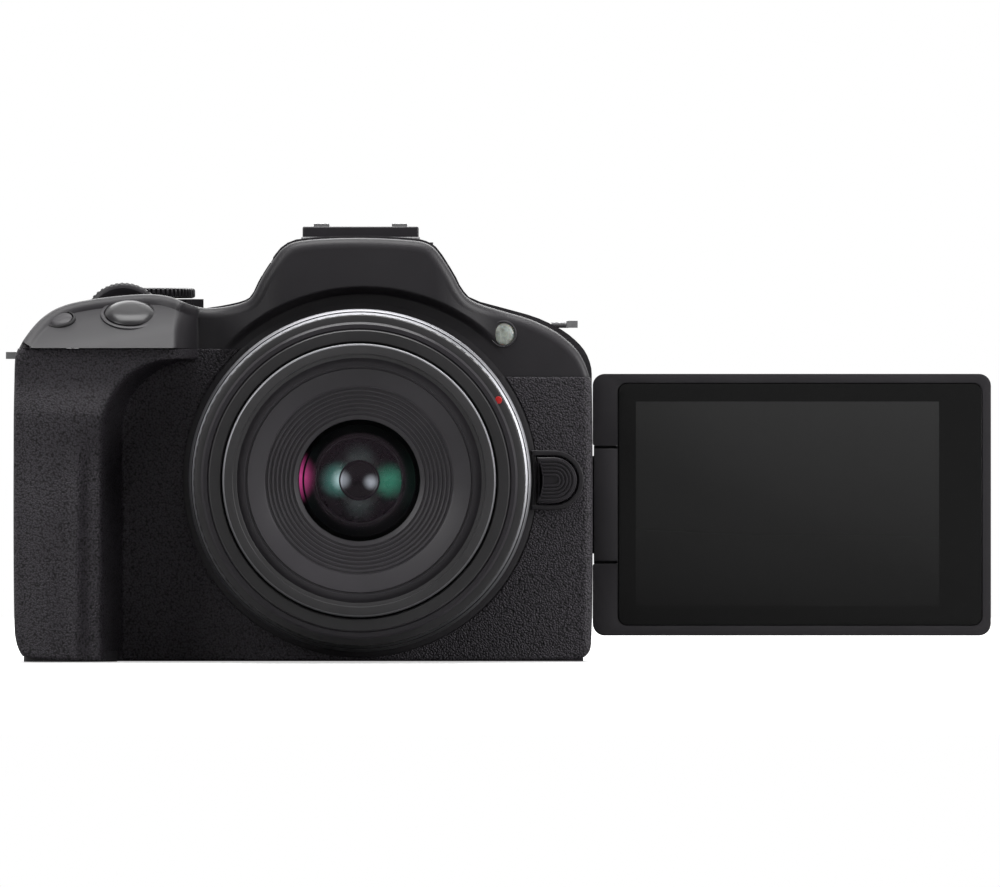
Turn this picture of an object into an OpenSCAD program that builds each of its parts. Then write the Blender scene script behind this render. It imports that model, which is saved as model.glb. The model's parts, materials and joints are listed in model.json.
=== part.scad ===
// Small mirrorless camera with a retracting zoom lens and a swing-out screen.
// +Z is up, the front faces -Y, and the origin is the mouth of the tripod socket.

/* [Body] */
// Width of the body, without the strap lugs
body_w = 116.3; // [110:0.1:142]
// Height from the base to the roof of the hump
body_h = 85.9; // [71:0.1:104]
// Distance of the body's right side from the lens axis
right_x = 46.8; // [45:0.1:57]
// Front wall, measured forward of the sensor
front_d = 17; // [15:0.1:19]
// Rear wall, measured behind the sensor
rear_d = 17; // [15:0.1:20.5]
// How far the hand grip stands out in front of the front wall
grip_reach = 21.8; // [18:0.1:26.5]
// Radius of the grip's front curve
grip_r = 10.5; // [10:0.1:12.6]
// Wall of the outer covers
wall = 1.6; // [1.2:0.1:2]
// How far the hump's front panel stands out over the lens
brow_d = 5; // [3:0.1:6]
// Gap between pieces that move and what is beside them
gap = 0.3; // [0.2:0.05:0.4]

/* [Lens] */
// Height of the lens axis above the base
lens_z = 36.5; // [35:0.1:44]
// Outer diameter of the lens
lens_d = 69; // [58:0.1:69]
// Length of the lens when it is retracted
lens_len = 44.3; // [42:0.1:54]
// Distance from the mount's face to the sensor
flange_d = 20; // [19:0.1:22]
// Radius of the filter thread
filter_r = 24.5; // [20:0.1:24.5]

/* [Screen] */
// Width of the screen housing
screen_w = 80.4; // [67:0.1:80.4]
// Height of the screen housing
screen_h = 53; // [44:0.1:54]
// Thickness of the screen housing
screen_t = 5.8; // [5:0.1:6.9]
// Height of the screen's lower edge
screen_z0 = 5; // [3.5:0.1:6]

/* [Battery] */
// Battery width across the grip
battery_w = 14; // [11.7:0.1:14]
// Battery length from front to back
battery_l = 33; // [27.5:0.1:33]
// Battery height
battery_h = 49.4; // [41:0.1:52]

/* [Controls] */
// Radius of the mode dial
mode_r = 8.5; // [7:0.1:9.3]
// Radius of the main dial
main_r = 8.2; // [7:0.1:8.6]
// Radius of the shutter button
shutter_r = 5.1; // [4.2:0.1:5.6]
// Width of an accessory foot that the shoe takes
shoe_w = 18.6; // [17:0.1:19]
// Radius of the tripod socket's thread bore
tripod_r = 2.6; // [2.2:0.1:4]

/* [Hidden] */
$fn = 48;
tiny = 0.01;
far = 300;

// Body planes and heights
left_x = right_x - body_w;
front_y = -front_d;
rear_y = rear_d;
seam_y = -8;
roof_z = body_h;
deck_z = roof_z - 11.8;
deck_drop = 2.9;
top_seam_z = roof_z - 24;
base_t = 2;
panel_inset = 0.9;
leather_t = 0.6;
leather_left_z = roof_z - 22.7;
leather_right_z = roof_z - 28.4;
collar_r = 33.2;
mount_r = 31;
throat_r = 27;
flange_y = -flange_d;

// Grip and battery places
grip_x = left_x + grip_r;
grip_front_y = front_y - grip_reach;
grip_y = grip_front_y + grip_r;
case_wall = 0.8;
battery_slack = 0.2;
case_w = battery_w + 2 * (battery_slack + case_wall);
case_y0 = grip_y - 4;
battery_y0 = case_y0 + case_wall + battery_slack;
battery_y1 = battery_y0 + battery_l;
battery_z0 = 3.2;
card_t = 2.1;
card_w = 24;
card_h = 32;
card_x0 = grip_x + case_w / 2 + 0.4;
card_y0 = -13.5;
case_x1 = card_x0 + card_t + 1.2;
case_y1 = max(battery_y1, card_y0 + card_w) + case_wall + battery_slack;
case_top_z = battery_z0 + battery_h + 2;
door_x0 = left_x + 3.1;
door_hinge_x = case_x1 + 1.4;
door_hinge_z = 1.15;
door_t = 1.6;
door_y0 = grip_front_y + 3;
door_y1 = case_y1 + 0.6;

// Screen and its hinges
hinge_x = right_x + 0.2;
hinge_y = rear_y - 4.6;
screen_gap = 0.6;
screen_y1 = hinge_y - screen_gap;
screen_y0 = screen_y1 - screen_t;
screen_yc = (screen_y0 + screen_y1) / 2;
screen_x0 = right_x + 0.4;
screen_x1 = screen_x0 + screen_w;
screen_z1 = screen_z0 + screen_h;
screen_zc = (screen_z0 + screen_z1) / 2;
recess_y = hinge_y + screen_gap - gap;
arm_h = 22.7;
arm_x1 = screen_x0 + 4.8;
notch_x1 = arm_x1 + gap;
notch_h = arm_h + 1.2;
knuckle_r = 2.2;
knuckle_h = 19.8;
knuckle_mid = 12.6;
hinge_pin_r = 0.9;
tilt_shaft_r = 1.8;
running = 0.05;
bezel_t = 2.6;

// Lens stations along the axis, from the mount forward
lens_r = lens_d / 2;
barrel_y0 = flange_y - 0.3;
barrel_y1 = flange_y - 11;
zoom_y0 = barrel_y1 - gap;
lens_front_y = flange_y - lens_len;
inner_r = lens_r - 7.1;
tube_r0 = inner_r + 0.9;
tube_r1 = tube_r0 + 1.3;
zoom_r = lens_r - 1.1;
control_r = lens_r - 2.7;
control_y1 = lens_front_y + 6.3;
control_len = 7.7;
zoom_y1 = control_y1 + control_len + gap;
tube_collar_r = tube_r1 + 0.8;
tube_y1 = control_y1 - gap - 1;
bezel_hole_r = 12.2;
cell_r = 15.2;

// Top controls
main_x = left_x + 21.7;
main_z = deck_z - 5.8;
main_y0 = -15;
main_w = 6.4;
mode_x = left_x + 27.5;
mode_y = 4.6;
mode_z0 = deck_z - 0.9;
mode_h = 2.2;
lever_z0 = deck_z - deck_drop + 0.1;
shutter_x = left_x + 23.3;
shutter_y = grip_front_y + 9;
shutter_z = deck_z - 4.1;
slope = 30;
iso_x = left_x + 9.2;
iso_y = grip_front_y + 9.4;
iso_z = deck_z - 5.3;
lamp_x = right_x - 16.9;
lamp_z = roof_z - 19.8;
release_x = lens_r + 4.4;
flash_axis_y = -1.5;
flash_axis_z = roof_z - 2.5;
flash_sweep_r = 13.7;
flash_x = 17.6;
finder_z = roof_z - 13.6;
shoe_base_w = 23.5;
shoe_base_y0 = 1.4;
shoe_top_z = roof_z + 2.5;

// Rounds the corners of an outline by cutting each one at a quarter of its sides
function cut_corners(points) = [for (i = [0:len(points) - 1])
  let (a = points[i], b = points[(i + 1) % len(points)]) each [0.75 * a + 0.25 * b, 0.25 * a + 0.75 * b]];

// Front-view outline of the body; drop lowers the deck beside the grip's pod
function body_outline(drop) = let (d = deck_z - drop) [
  [left_x + 2.7, 0], [left_x + 0.6, 3], [left_x, 8], [left_x, d - 14 + drop], [left_x + 0.8, d - 11],
  [left_x + 2.8, d - 7.8 + drop / 2], [left_x + 5.4, d - 4.7 + drop / 2], [left_x + 9.2, d - 2.3],
  [left_x + 15, d - 1 + drop / 3], [left_x + 24, d], [left_x + 29, d], [left_x + 32.4, d - 0.8],
  [left_x + 37.8, deck_z - 2.6 - drop / 8], [-27, deck_z - 2.2], [-23.6, deck_z - 1.4],
  [-22, deck_z - 0.5], [-20.2, roof_z - 8.4], [-17.7, roof_z - 4.5], [-15.5, roof_z - 1.8],
  [-12.1, roof_z - 0.5], [0, roof_z], [11.5, roof_z - 0.6], [13.9, roof_z - 1.3],
  [15.7, roof_z - 2.6], [19, roof_z - 7.7], [20.4, roof_z - 10.7], [22.4, roof_z - 12.9],
  [right_x - 17.2, roof_z - 14.8], [right_x - 11.7, roof_z - 16.3], [right_x - 7.9, roof_z - 18],
  [right_x - 5.3, roof_z - 19.5], [right_x - 2.8, roof_z - 21.6], [right_x - 1.2, roof_z - 23.6],
  [right_x - 0.2, roof_z - 26.2], [right_x, roof_z - 28.5], [right_x, 4],
  [right_x - 1.2, 1.2], [right_x - 4, 0]];

// Slice of the body between two planes, shrunk by an inset
module body_slab(y0, y1, inset = 0, drop = 0) {
  translate([0, y1, 0]) rotate([90, 0, 0]) linear_extrude(y1 - y0)
    offset(delta = -inset) polygon(cut_corners(body_outline(drop)));
}

// Box given by its low and high corners
module box(low, high) {
  translate(low) cube([high[0] - low[0], high[1] - low[1], high[2] - low[2]]);
}

// Cylinder along the lens axis between two planes
module barrel(r, y0, y1) {
  translate([0, y1, lens_z]) rotate([90, 0, 0]) cylinder(r = r, h = y1 - y0, $fn = 96);
}

// Cylinder along Y at any place
module rod_y(x, z, r, y0, y1) {
  translate([x, y1, z]) rotate([90, 0, 0]) cylinder(r = r, h = y1 - y0);
}

// Cylinder along X at any place
module rod_x(y, z, r, x0, x1) {
  translate([x0, y, z]) rotate([0, 90, 0]) cylinder(r = r, h = x1 - x0);
}

// Ring about the lens axis
module ring(r_out, r_in, y0, y1) {
  difference() {
    barrel(r_out, y0, y1);
    barrel(r_in, y0 - 1, y1 + 1);
  }
}

// Solid of revolution about the lens axis; points are [radius, distance forward of the sensor]
module turned(points) {
  translate([0, 0, lens_z]) rotate([90, 0, 0]) rotate_extrude($fn = 96) polygon(points);
}

// Plan of the hand grip, shrunk by an inset
module grip_plan(inset = 0) {
  hull() {
    translate([grip_x, grip_y]) circle(r = grip_r - inset);
    translate([left_x + inset, front_y - 1]) square([2 * grip_r + 1 - 2 * inset, 3 + inset]);
  }
}

// Plan of the whole base: body and grip
module base_plan(inset = 0) {
  grip_plan(inset);
  translate([left_x + 1 + inset, front_y + inset])
    square([body_w - 1 - 2 * inset, front_d + rear_d - 2 * inset]);
}

// Solid pod of the grip: straight below, sloping up to the deck above
module grip_solid(inset = 0) {
  intersection() {
    union() {
      linear_extrude(leather_left_z) grip_plan(inset);
      linear_extrude(far) hull() {
        translate([grip_x, grip_y]) circle(r = grip_r - inset);
        translate([left_x + 25, grip_y + 2.5]) circle(r = grip_r - 1.5 - inset);
        translate([left_x + inset, front_y - 1]) square([31, 3 - inset]);
      }
    }
    rotate([90, 0, 90]) translate([0, 0, left_x - 1]) linear_extrude(far) polygon([
      [grip_front_y - 1, -1], [grip_front_y - 1, leather_left_z + 1.5 - inset],
      [grip_front_y + 3, leather_left_z + 4 - inset], [shutter_y + 6.8, deck_z - inset],
      [front_y + 1, deck_z - inset], [front_y + 1, -1]]);
    body_slab(grip_front_y - 1, front_y + 1.5, inset);
  }
}

// Panel of the hump that stands out over the lens
module brow_panel() {
  translate([0, front_y + tiny, 0]) rotate([90, 0, 0]) linear_extrude(brow_d) polygon([
    [-20, roof_z - 13.4], [-17.2, roof_z - 6.6], [-14.8, roof_z - 2.8], [-11.8, roof_z - 1.5],
    [0, roof_z - 1], [11.2, roof_z - 1.7], [15, roof_z - 3.5], [18.3, roof_z - 8.4],
    [20, roof_z - 13], [15.7, roof_z - 13.5], [10, roof_z - 11.5], [0, roof_z - 11.2],
    [-13, roof_z - 11.8]]);
}

// Room for the flash head inside the hump
module flash_room() {
  box([-20.6, front_y + 1.5, roof_z - 8.1], [20.6, flash_axis_y + gap, far]);
  rod_x(flash_axis_y, flash_axis_z, 2.7 + gap, -20.6, 20.6);
}

module front_cover() color([0.09, 0.09, 0.1]) {
  difference() {
    union() {
      body_slab(front_y, seam_y, panel_inset);
      grip_solid();
      brow_panel();
      ring(collar_r, mount_r + gap, flange_y + 1, front_y + 1);
    }
    difference() {
      body_slab(front_y + wall, seam_y + 1, panel_inset + wall);
      box([-far, front_y, -1], [left_x + 2.2, 0, far]);
    }
    difference() {
      grip_solid(wall);
      box([left_x, front_y - far, leather_left_z - 1], [far, front_y + far, far]);
    }
    box([grip_x - case_w / 2 - gap, case_y0 - gap, -1],
      [case_x1 + gap, case_y1, case_top_z + gap]);
    box([left_x - 1, -far, -1], [far, far, base_t]);
    box([left_x + 4, front_y + wall, 0], [right_x - 4, seam_y + 1, base_t + 3]);
    barrel(mount_r + gap, flange_y - 9, seam_y + 9);
    flash_room();
    rod_y(main_x, main_z, main_r + gap, main_y0 - gap, seam_y + 1);
    translate([shutter_x, shutter_y, shutter_z]) rotate([slope, 0, 0])
      translate([0, 0, -5]) cylinder(r = shutter_r + gap, h = 9);
    translate([iso_x, iso_y, iso_z]) rotate([slope, -28, 0])
      translate([0, 0, -4]) cylinder(r = 2.5 + gap, h = 9);
    rod_y(lamp_x, lamp_z, 2.5, front_y - 1, front_y + 3);
    rod_y(release_x, lens_z, 3.9 + gap, front_y - 9, front_y + 3);
    port_room();
    hinge_room();
  }
  difference() {
    rod_y(release_x, lens_z, 5.5, flange_y + 1.4, front_y);
    rod_y(release_x, lens_z, 3.9 + gap, flange_y, front_y + 1);
    barrel(lens_r + gap, flange_y - 9, front_y + 1);
  }
}

module top_cover() color([0.1, 0.1, 0.11]) {
  difference() {
    body_slab(seam_y, rear_y, 0, deck_drop);
    body_slab(seam_y - 1, rear_y - wall, wall, deck_drop);
    box([-far, -far, -1], [far, far, top_seam_z]);
    flash_room();
    box([-shoe_base_w / 2, shoe_base_y0, roof_z - 1.2], [shoe_base_w / 2, rear_y + 1, far]);
    rod_y(main_x, main_z, main_r + gap, seam_y - 1, main_y0 + main_w + gap);
    translate([mode_x, mode_y, lever_z0 - 6]) cylinder(r = 3.2, h = 20);
    translate([left_x + 13.5, mode_y + 3, deck_z - 12]) cylinder(r = 2.6 + gap, h = 20);
    translate([-9.8, rear_y - 3, finder_z - 6.8]) cube([19.6, 9, 14]);
    rod_y(16.9, finder_z + 1, 1.3, rear_y - 3, rear_y + 1);
    for (b = high_buttons) rod_y(b[0], b[1], b[2] + gap, rear_y - 3, rear_y + 1);
    lug_holes();
    jack_room();
  }
}

// Rear buttons: [x, z, radius]
high_buttons = [[left_x + 11, top_seam_z + 3.6, 2.3], [left_x + 19.5, top_seam_z + 3.6, 2.3]];
low_buttons = [[left_x + 25.5, top_seam_z - 5.5, 2.2], [left_x + 27, 13, 2.6], [left_x + 12.5, 13, 2.6]];
key_x = left_x + 19.5;
key_z = 33;
key_r = 9.4;
set_r = 3.9;
recess_x0 = left_x + 34.4;

module rear_cover() color([0.09, 0.09, 0.1]) {
  difference() {
    body_slab(seam_y, rear_y, 0);
    body_slab(seam_y - 1, rear_y - wall, wall);
    box([-far, -far, top_seam_z], [far, far, far]);
    box([-far, -far, -1], [far, far, base_t]);
    box([recess_x0, recess_y, screen_z0 - gap], [far, far, screen_z1 + gap]);
    box([door_x0, -far, -1], [case_x1 + gap, case_y1 + gap, base_t + 2]);
    rod_y(key_x, key_z, key_r + gap, rear_y - 3, rear_y + 1);
    for (b = low_buttons) rod_y(b[0], b[1], b[2] + gap, rear_y - 3, rear_y + 1);
    lug_holes();
    port_room();
    hinge_room();
    jack_room();
  }
  difference() {
    body_slab(recess_y - 1.2, recess_y, wall);
    box([-far, -far, -1], [recess_x0 - wall, far, far]);
    box([-far, -far, -1], [far, far, screen_z0 - gap]);
    box([-far, -far, screen_z1 + gap], [far, far, far]);
    hinge_room();
  }
  box([recess_x0 - 1.2, recess_y - 1.2, screen_z0 - gap - 1.2],
    [recess_x0, rear_y - wall, screen_z1 + gap + 1.2]);
  box([recess_x0, recess_y - 1.2, screen_z0 - gap - 1.2],
    [right_x - wall, rear_y - wall, screen_z0 - gap]);
  box([recess_x0, recess_y - 1.2, screen_z1 + gap],
    [right_x - wall, rear_y - wall, screen_z1 + gap + 1.2]);
}

// Slots that the side pieces sit in
port_z = 24;
port_y = -1.5;
jack_z = top_seam_z - 1.9;
module port_room() {
  box([left_x - 1, port_y - 5.5, port_z - 13], [left_x + wall + 0.2, port_y + 5.5, port_z + 13]);
}
module jack_room() {
  box([right_x - 4.6, -6.5, top_seam_z - 4.7], [right_x + 1, 4.5, top_seam_z + 1.8]);
}
module hinge_room() {
  translate([hinge_x, hinge_y, screen_zc - notch_h / 2 - gap])
    cylinder(r = knuckle_r + 0.4, h = notch_h + 2 * gap);
  box([right_x - 10, hinge_y - 3.2, screen_zc - notch_h / 2 - gap],
    [right_x + 1, hinge_y + 1, screen_zc + notch_h / 2 + gap]);
}
module lug_holes() {
  rod_x(lug_y, lug_left_z, 0.8, left_x - 1, left_x + 4);
  rod_x(lug_y, lug_right_z, 0.8, right_x - 9, right_x + 1);
}
lug_y = -4.5;
lug_left_z = roof_z - 24.2;
lug_right_z = roof_z - 17.9;

module base_plate() color([0.08, 0.08, 0.09]) {
  difference() {
    linear_extrude(base_t) base_plan(0.4);
    intersection() {
      translate([0, 0, -1]) linear_extrude(9) base_plan(1.8);
      box([door_x0 - gap, door_y0 - gap, -1], [door_hinge_x - 2.2, door_y1 + gap, 9]);
    }
    for (y = door_knuckles) box([door_hinge_x - 3.1, y - gap, -1],
      [door_hinge_x + 1.2, y + knuckle_l + gap, 9]);
    rod_y(door_hinge_x, door_hinge_z, door_pin_r + running, door_knuckles[0] - 3, door_y1 - 1);
    box([door_hinge_x - 3, -far, -1], [far, front_y + 0.5, 9]);
    translate([0, 0, -1]) cylinder(r = 5.5, h = 9);
    for (s = screw_places) translate([s[0], s[1], base_t - 1.2]) {
      cylinder(r = 0.85, h = 3);
      translate([0, 0, -2]) cylinder(r = 1.7, h = 2.4);
    }
  }
}
door_knuckles = [front_y + 3, door_y1 - 12];
knuckle_l = 6;
door_pin_r = 0.45;
screw_places = [[22, 12], [-22, 12], [40, -12], [40, 10], [-33, 13]];

module case_screws() color([0.15, 0.15, 0.16]) {
  for (s = screw_places) translate([s[0], s[1], 0.35]) difference() {
    union() {
      cylinder(r = 1.6, h = 0.8);
      cylinder(r = 0.8, h = 2.9);
    }
    for (a = [0, 90]) rotate(a) translate([-0.9, -0.2, -1]) cube([1.8, 0.4, 1.4]);
  }
}

module tripod_socket() color([0.6, 0.6, 0.62]) {
  difference() {
    union() {
      cylinder(r = 5.4, h = 6.6);
      translate([0, 0, base_t]) cylinder(r = 7.5, h = 1.2);
    }
    translate([0, 0, -1]) cylinder(r = tripod_r, h = 6.5);
  }
}

module front_leatherette() color([0.05, 0.05, 0.055]) {
  difference() {
    body_slab(front_y - leather_t, front_y, panel_inset + 0.5);
    box([-far, -far, leather_right_z], [far, far, far]);
    box([-far, -far, -1], [left_x + 2 * grip_r + 3, far, far]);
    box([-far, -far, -2], [far, far, base_t]);
    barrel(collar_r + 0.3, front_y - 3, front_y + 1);
    rod_y(release_x, lens_z, 5.8, front_y - 3, front_y + 1);
    rod_y(lamp_x, lamp_z, 3, front_y - 3, front_y + 1);
  }
}

module chassis() color([0.55, 0.56, 0.58]) {
  difference() {
    union() {
      box([-40, front_y + wall, 8.5], [38, front_y + wall + 1.5, top_seam_z]);
      box([-40, front_y + wall, 8.5], [-38.5, -2, top_seam_z]);
      box([36.5, front_y + wall, 8.5], [38, -2, top_seam_z - 6]);
      barrel(throat_r + 2, flange_y + 2, shutter_y0);
      barrel(mount_r, front_y + 1, front_y + wall + tiny);
    }
    barrel(throat_r, flange_y - 1, 0);
    rod_y(29.1, lens_z, 1.4, flange_y - 1, 0);
    rod_y(release_x, lens_z, 4.4, flange_y - 1, -14);
    rod_y(main_x, main_z, main_r + gap, -16, -2);
    rod_y(lamp_x, lamp_z, 3, -17, -12);
  }
  box([-7, -7.4, base_t + 1.3], [7, -5.9, 9]);
  box([-12, front_y + wall, base_t + 1.3], [12, -5.9, base_t + 2.8]);
  box([-12, front_y + wall, base_t + 1.3], [12, front_y + wall + 1.5, 8.6]);
}

// Sector of a ring about the lens axis
module lug_sector(r_out, r_in, y0, y1, start, span) {
  intersection() {
    ring(r_out, r_in, y0, y1);
    translate([0, y1 + 1, lens_z]) rotate([90, 0, 0]) linear_extrude(y1 - y0 + 2)
      polygon([[0, 0], for (i = [0:4]) 60 * [cos(start + i * span / 4), sin(start + i * span / 4)]]);
  }
}

module mount_ring() color([0.75, 0.75, 0.76]) {
  difference() {
    ring(mount_r, throat_r, flange_y, flange_y + 2);
    rod_y(29.1, lens_z, 1.25, flange_y - 1, flange_y + 3);
  }
  for (a = [35, 155, 275])
    lug_sector(throat_r + tiny, 25.3, flange_y + 0.8, flange_y + 1.9, a, 48);
}

module body_contacts() color([0.7, 0.6, 0.3]) {
  difference() {
    lug_sector(throat_r - 0.1, 25.6, -14.2, -10.5, 240, 60);
    barrel(25.6, -15, -9);
  }
}

module image_sensor() color([0.1, 0.14, 0.16]) {
  box([-14, 0, lens_z - 10.5], [14, 2, lens_z + 10.5]);
  box([-18, 2, lens_z - 14], [18, 3, lens_z + 14]);
}

shutter_y0 = -5.8;
module shutter_unit() color([0.07, 0.07, 0.07]) {
  difference() {
    box([-20, shutter_y0, lens_z - 26], [20, -0.6, lens_z + 15]);
    box([-11.6, -7, lens_z - 7.9], [11.6, 1, lens_z + 7.9]);
  }
}

module main_board() color([0.05, 0.25, 0.12]) {
  box([case_x1 + 1, 4.5, 8], [right_x - 10, 6, top_seam_z - 1.5]);
  box([-14, 6, 20], [2, 7.6, 36]);
  box([8, 6, 22], [18, 7.4, 32]);
  box([-6, 3, lens_z - 4], [6, 4.5, lens_z + 4]);
}

module battery_case() color([0.1, 0.1, 0.1]) {
  difference() {
    box([grip_x - case_w / 2, case_y0, base_t + 1.6], [case_x1, case_y1, case_top_z]);
    box([grip_x - battery_w / 2 - battery_slack, battery_y0 - battery_slack, 0],
      [grip_x + battery_w / 2 + battery_slack, battery_y1 + battery_slack,
        battery_z0 + battery_h + battery_slack]);
    box([card_x0 - 0.15, card_y0 - 0.2, 0], [card_x0 + card_t + 0.15, card_y0 + card_w + 0.2,
      battery_z0 + card_h + 1]);
    box([card_x0 - 0.5, case_y0 - 1, 0], [far, card_y0 - 1.2, far]);
    rod_y(main_x, main_z, main_r + 1, -20, -4);
  }
}

module battery() color([0.2, 0.2, 0.22]) {
  box([grip_x - battery_w / 2, battery_y0, battery_z0],
    [grip_x + battery_w / 2, battery_y1, battery_z0 + battery_h]);
}

module memory_card() color([0.1, 0.2, 0.5]) {
  difference() {
    box([card_x0, card_y0, battery_z0], [card_x0 + card_t, card_y0 + card_w, battery_z0 + card_h]);
    translate([card_x0 - 1, card_y0, battery_z0 + card_h]) rotate([45, 0, 0])
      translate([0, -3, -3]) cube([5, 6, 6]);
  }
}

module battery_door() color([0.08, 0.08, 0.09]) {
  difference() {
    intersection() {
      linear_extrude(door_t + 0.2) base_plan(2.2);
      box([door_x0, door_y0, 0.2], [door_hinge_x - 2.6, door_y1, door_t + 0.2]);
    }
    box([left_x + 6, latch_y - 4 - gap, 0], [left_x + 11, latch_y + 4 + gap, 9]);
  }
  for (y = door_knuckles) {
    box([door_hinge_x - 2.8, y, door_hinge_z - 0.85], [door_hinge_x, y + knuckle_l, door_t + 0.2]);
    rod_y(door_hinge_x, door_hinge_z, 0.85, y, y + knuckle_l);
    rod_y(door_hinge_x, door_hinge_z, door_pin_r, y - 2.5, y + knuckle_l + 2.5);
  }
}
latch_y = (door_y0 + door_y1) / 2;

module door_latch() color([0.12, 0.12, 0.13]) {
  box([left_x + 6.8, latch_y - 4, 0.3], [left_x + 10.2, latch_y + 4, door_t]);
}

module viewfinder_housing() color([0.06, 0.06, 0.06]) {
  difference() {
    box([-12, flash_axis_y + 4, finder_z - 8.5], [12, rear_y - wall, finder_z + 8.5]);
    box([-9, flash_axis_y + 6.5, finder_z - 6.2], [9, far, finder_z + 6.2]);
  }
  box([-7, flash_axis_y + 6.5, finder_z - 5.5], [7, flash_axis_y + 8, finder_z + 5.5]);
}

module eyepiece_lens() color([0.5, 0.55, 0.6, 0.5]) {
  box([-9.6, rear_y - wall, finder_z - 6.6], [9.6, rear_y + 1.2, finder_z + 7]);
}

module eyecup() color([0.04, 0.04, 0.04]) {
  difference() {
    hull() {
      for (x = [-11, 11], z = [-8, 8]) rod_y(x, finder_z + z, 3, rear_y, rear_y + 9);
      for (x = [-10, 10], z = [-7.5, 7.5]) rod_y(x, finder_z + z, 2, rear_y + 9, rear_y + 13);
    }
    box([-9.9, rear_y - 1, finder_z - 6.9], [9.9, rear_y + 3, finder_z + 7.3]);
    hull() for (x = [-8, 8], z = [-5, 5]) rod_y(x, finder_z + z, 1.6, rear_y + 2, rear_y + 14);
    rod_y(16.9, finder_z + 1, 4 + gap, rear_y - 1, rear_y + 20);
  }
}

// Knurled disc along its own axis
module knurled(r, h, count, depth) {
  difference() {
    cylinder(r = r, h = h);
    for (i = [0:count - 1]) rotate(i * 360 / count)
      translate([r, 0, -1]) rotate(45) translate([-depth, -depth, 0]) cube([2 * depth, 2 * depth, h + 2]);
  }
}

module diopter_dial() color([0.1, 0.1, 0.1]) {
  translate([16.9, rear_y + gap, finder_z + 1]) rotate([-90, 0, 0]) knurled(4, 2.4, 18, 0.3);
  rod_y(16.9, finder_z + 1, 1.25, rear_y - wall, rear_y + 1);
}

module shoe_base() color([0.07, 0.07, 0.07]) {
  difference() {
    box([-shoe_base_w / 2, shoe_base_y0 + tiny, roof_z - 1.2], [shoe_base_w / 2, rear_y - 1, roof_z + 1.9]);
    box([-shoe_w / 2 - 1, shoe_base_y0 + 1.2, roof_z - 0.7], [shoe_w / 2 + 1, far, far]);
  }
}

module shoe_rails() color([0.75, 0.75, 0.77]) {
  difference() {
    union() {
      box([-shoe_w / 2 - 1, shoe_base_y0 + 1.2, roof_z - 0.7], [shoe_w / 2 + 1, rear_y - 1, roof_z + 1.9]);
      box([-shoe_w / 2 - 0.2, shoe_base_y0 + 1.2, roof_z], [shoe_w / 2 + 0.2, rear_y - 1, shoe_top_z]);
    }
    box([-shoe_w / 2, shoe_base_y0 + 2, roof_z - 0.2], [shoe_w / 2, far, roof_z + 1.8]);
    box([-6.3, shoe_base_y0 - 1, roof_z + 1], [6.3, far, far]);
  }
  translate([0, (shoe_base_y0 + rear_y) / 2, roof_z - 0.3]) cylinder(r = 1.6, h = 0.5);
  for (x = [-4.6, 4.6], y = [-4, 2]) translate([x, (shoe_base_y0 + rear_y) / 2 + y, roof_z - 0.3])
    cylinder(r = 0.9, h = 0.4);
}

module flash_head() color([0.09, 0.09, 0.1]) {
  difference() {
    intersection() {
      union() {
        box([-flash_x, front_y + 1.5 + gap, flash_axis_z], [flash_x, flash_axis_y, far]);
        rod_x(flash_axis_y, flash_axis_z, flash_sweep_r, -flash_x, flash_x);
      }
      box([-far, -far, roof_z - 7.6], [far, flash_axis_y, far]);
      body_slab(front_y, seam_y + 12, 0);
    }
    intersection() {
      body_slab(front_y, seam_y + 12, wall);
      box([-14.6, front_y, -1], [14.6, 0, far]);
    }
    box([-far, flash_axis_y - 3, -1], [far, far, flash_axis_z - 2.2]);
  }
  rod_x(flash_axis_y, flash_axis_z, 2.3, -12, 12);
  difference() {
    box([-14.7, front_y + 4.8, roof_z - 6.8], [14.7, flash_axis_y - 4, roof_z - 1.4]);
    box([-11.5, front_y, roof_z - 6.1], [11.5, flash_axis_y - 6.5, roof_z - 2.7]);
  }
}

module flash_window() color([0.9, 0.9, 0.85, 0.6]) {
  box([-11.5, front_y + 4.6, roof_z - 6.1], [11.5, front_y + 5.8, roof_z - 2.7]);
}

module mode_dial() color([0.1, 0.1, 0.1]) {
  translate([mode_x, mode_y, mode_z0]) knurled(mode_r, mode_h, 30, 0.4);
  translate([mode_x, mode_y, lever_z0 - 3]) cylinder(r = 2.9, h = mode_z0 - lever_z0 + 3.2);
}

module power_lever() color([0.1, 0.1, 0.1]) {
  difference() {
    translate([mode_x, mode_y, lever_z0]) union() {
      cylinder(r = mode_r + 1.2, h = mode_z0 - lever_z0 - 0.1);
      rotate(-35) translate([mode_r, -2, 0]) cube([2.6, 4, mode_z0 - lever_z0 - 0.1]);
    }
    translate([mode_x, mode_y, lever_z0 - 1]) cylinder(r = 2.95, h = 9);
  }
}

module main_dial() color([0.1, 0.1, 0.1]) {
  translate([main_x, main_y0, main_z]) rotate([-90, 0, 0]) difference() {
    knurled(main_r, main_w, 36, 0.35);
    translate([0, 0, -1]) cylinder(r = main_r - 1.5, h = 1.6);
  }
}

module shutter_button() color([0.2, 0.2, 0.21]) {
  translate([shutter_x, shutter_y, shutter_z]) rotate([slope, 0, 0]) {
    translate([0, 0, -2]) cylinder(r = shutter_r, h = 2.9);
    translate([0, 0, -3.4]) cylinder(r = 2, h = 2);
  }
}

module iso_button() color([0.12, 0.12, 0.13]) {
  translate([iso_x, iso_y, iso_z]) rotate([slope, -28, 0])
    translate([0, 0, -1.6]) cylinder(r = 2.5, h = 2);
}

module movie_button() color([0.5, 0.08, 0.08]) {
  translate([left_x + 13.5, mode_y + 3, lever_z0 - 3]) cylinder(r = 2.6, h = 3.2);
}

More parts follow.
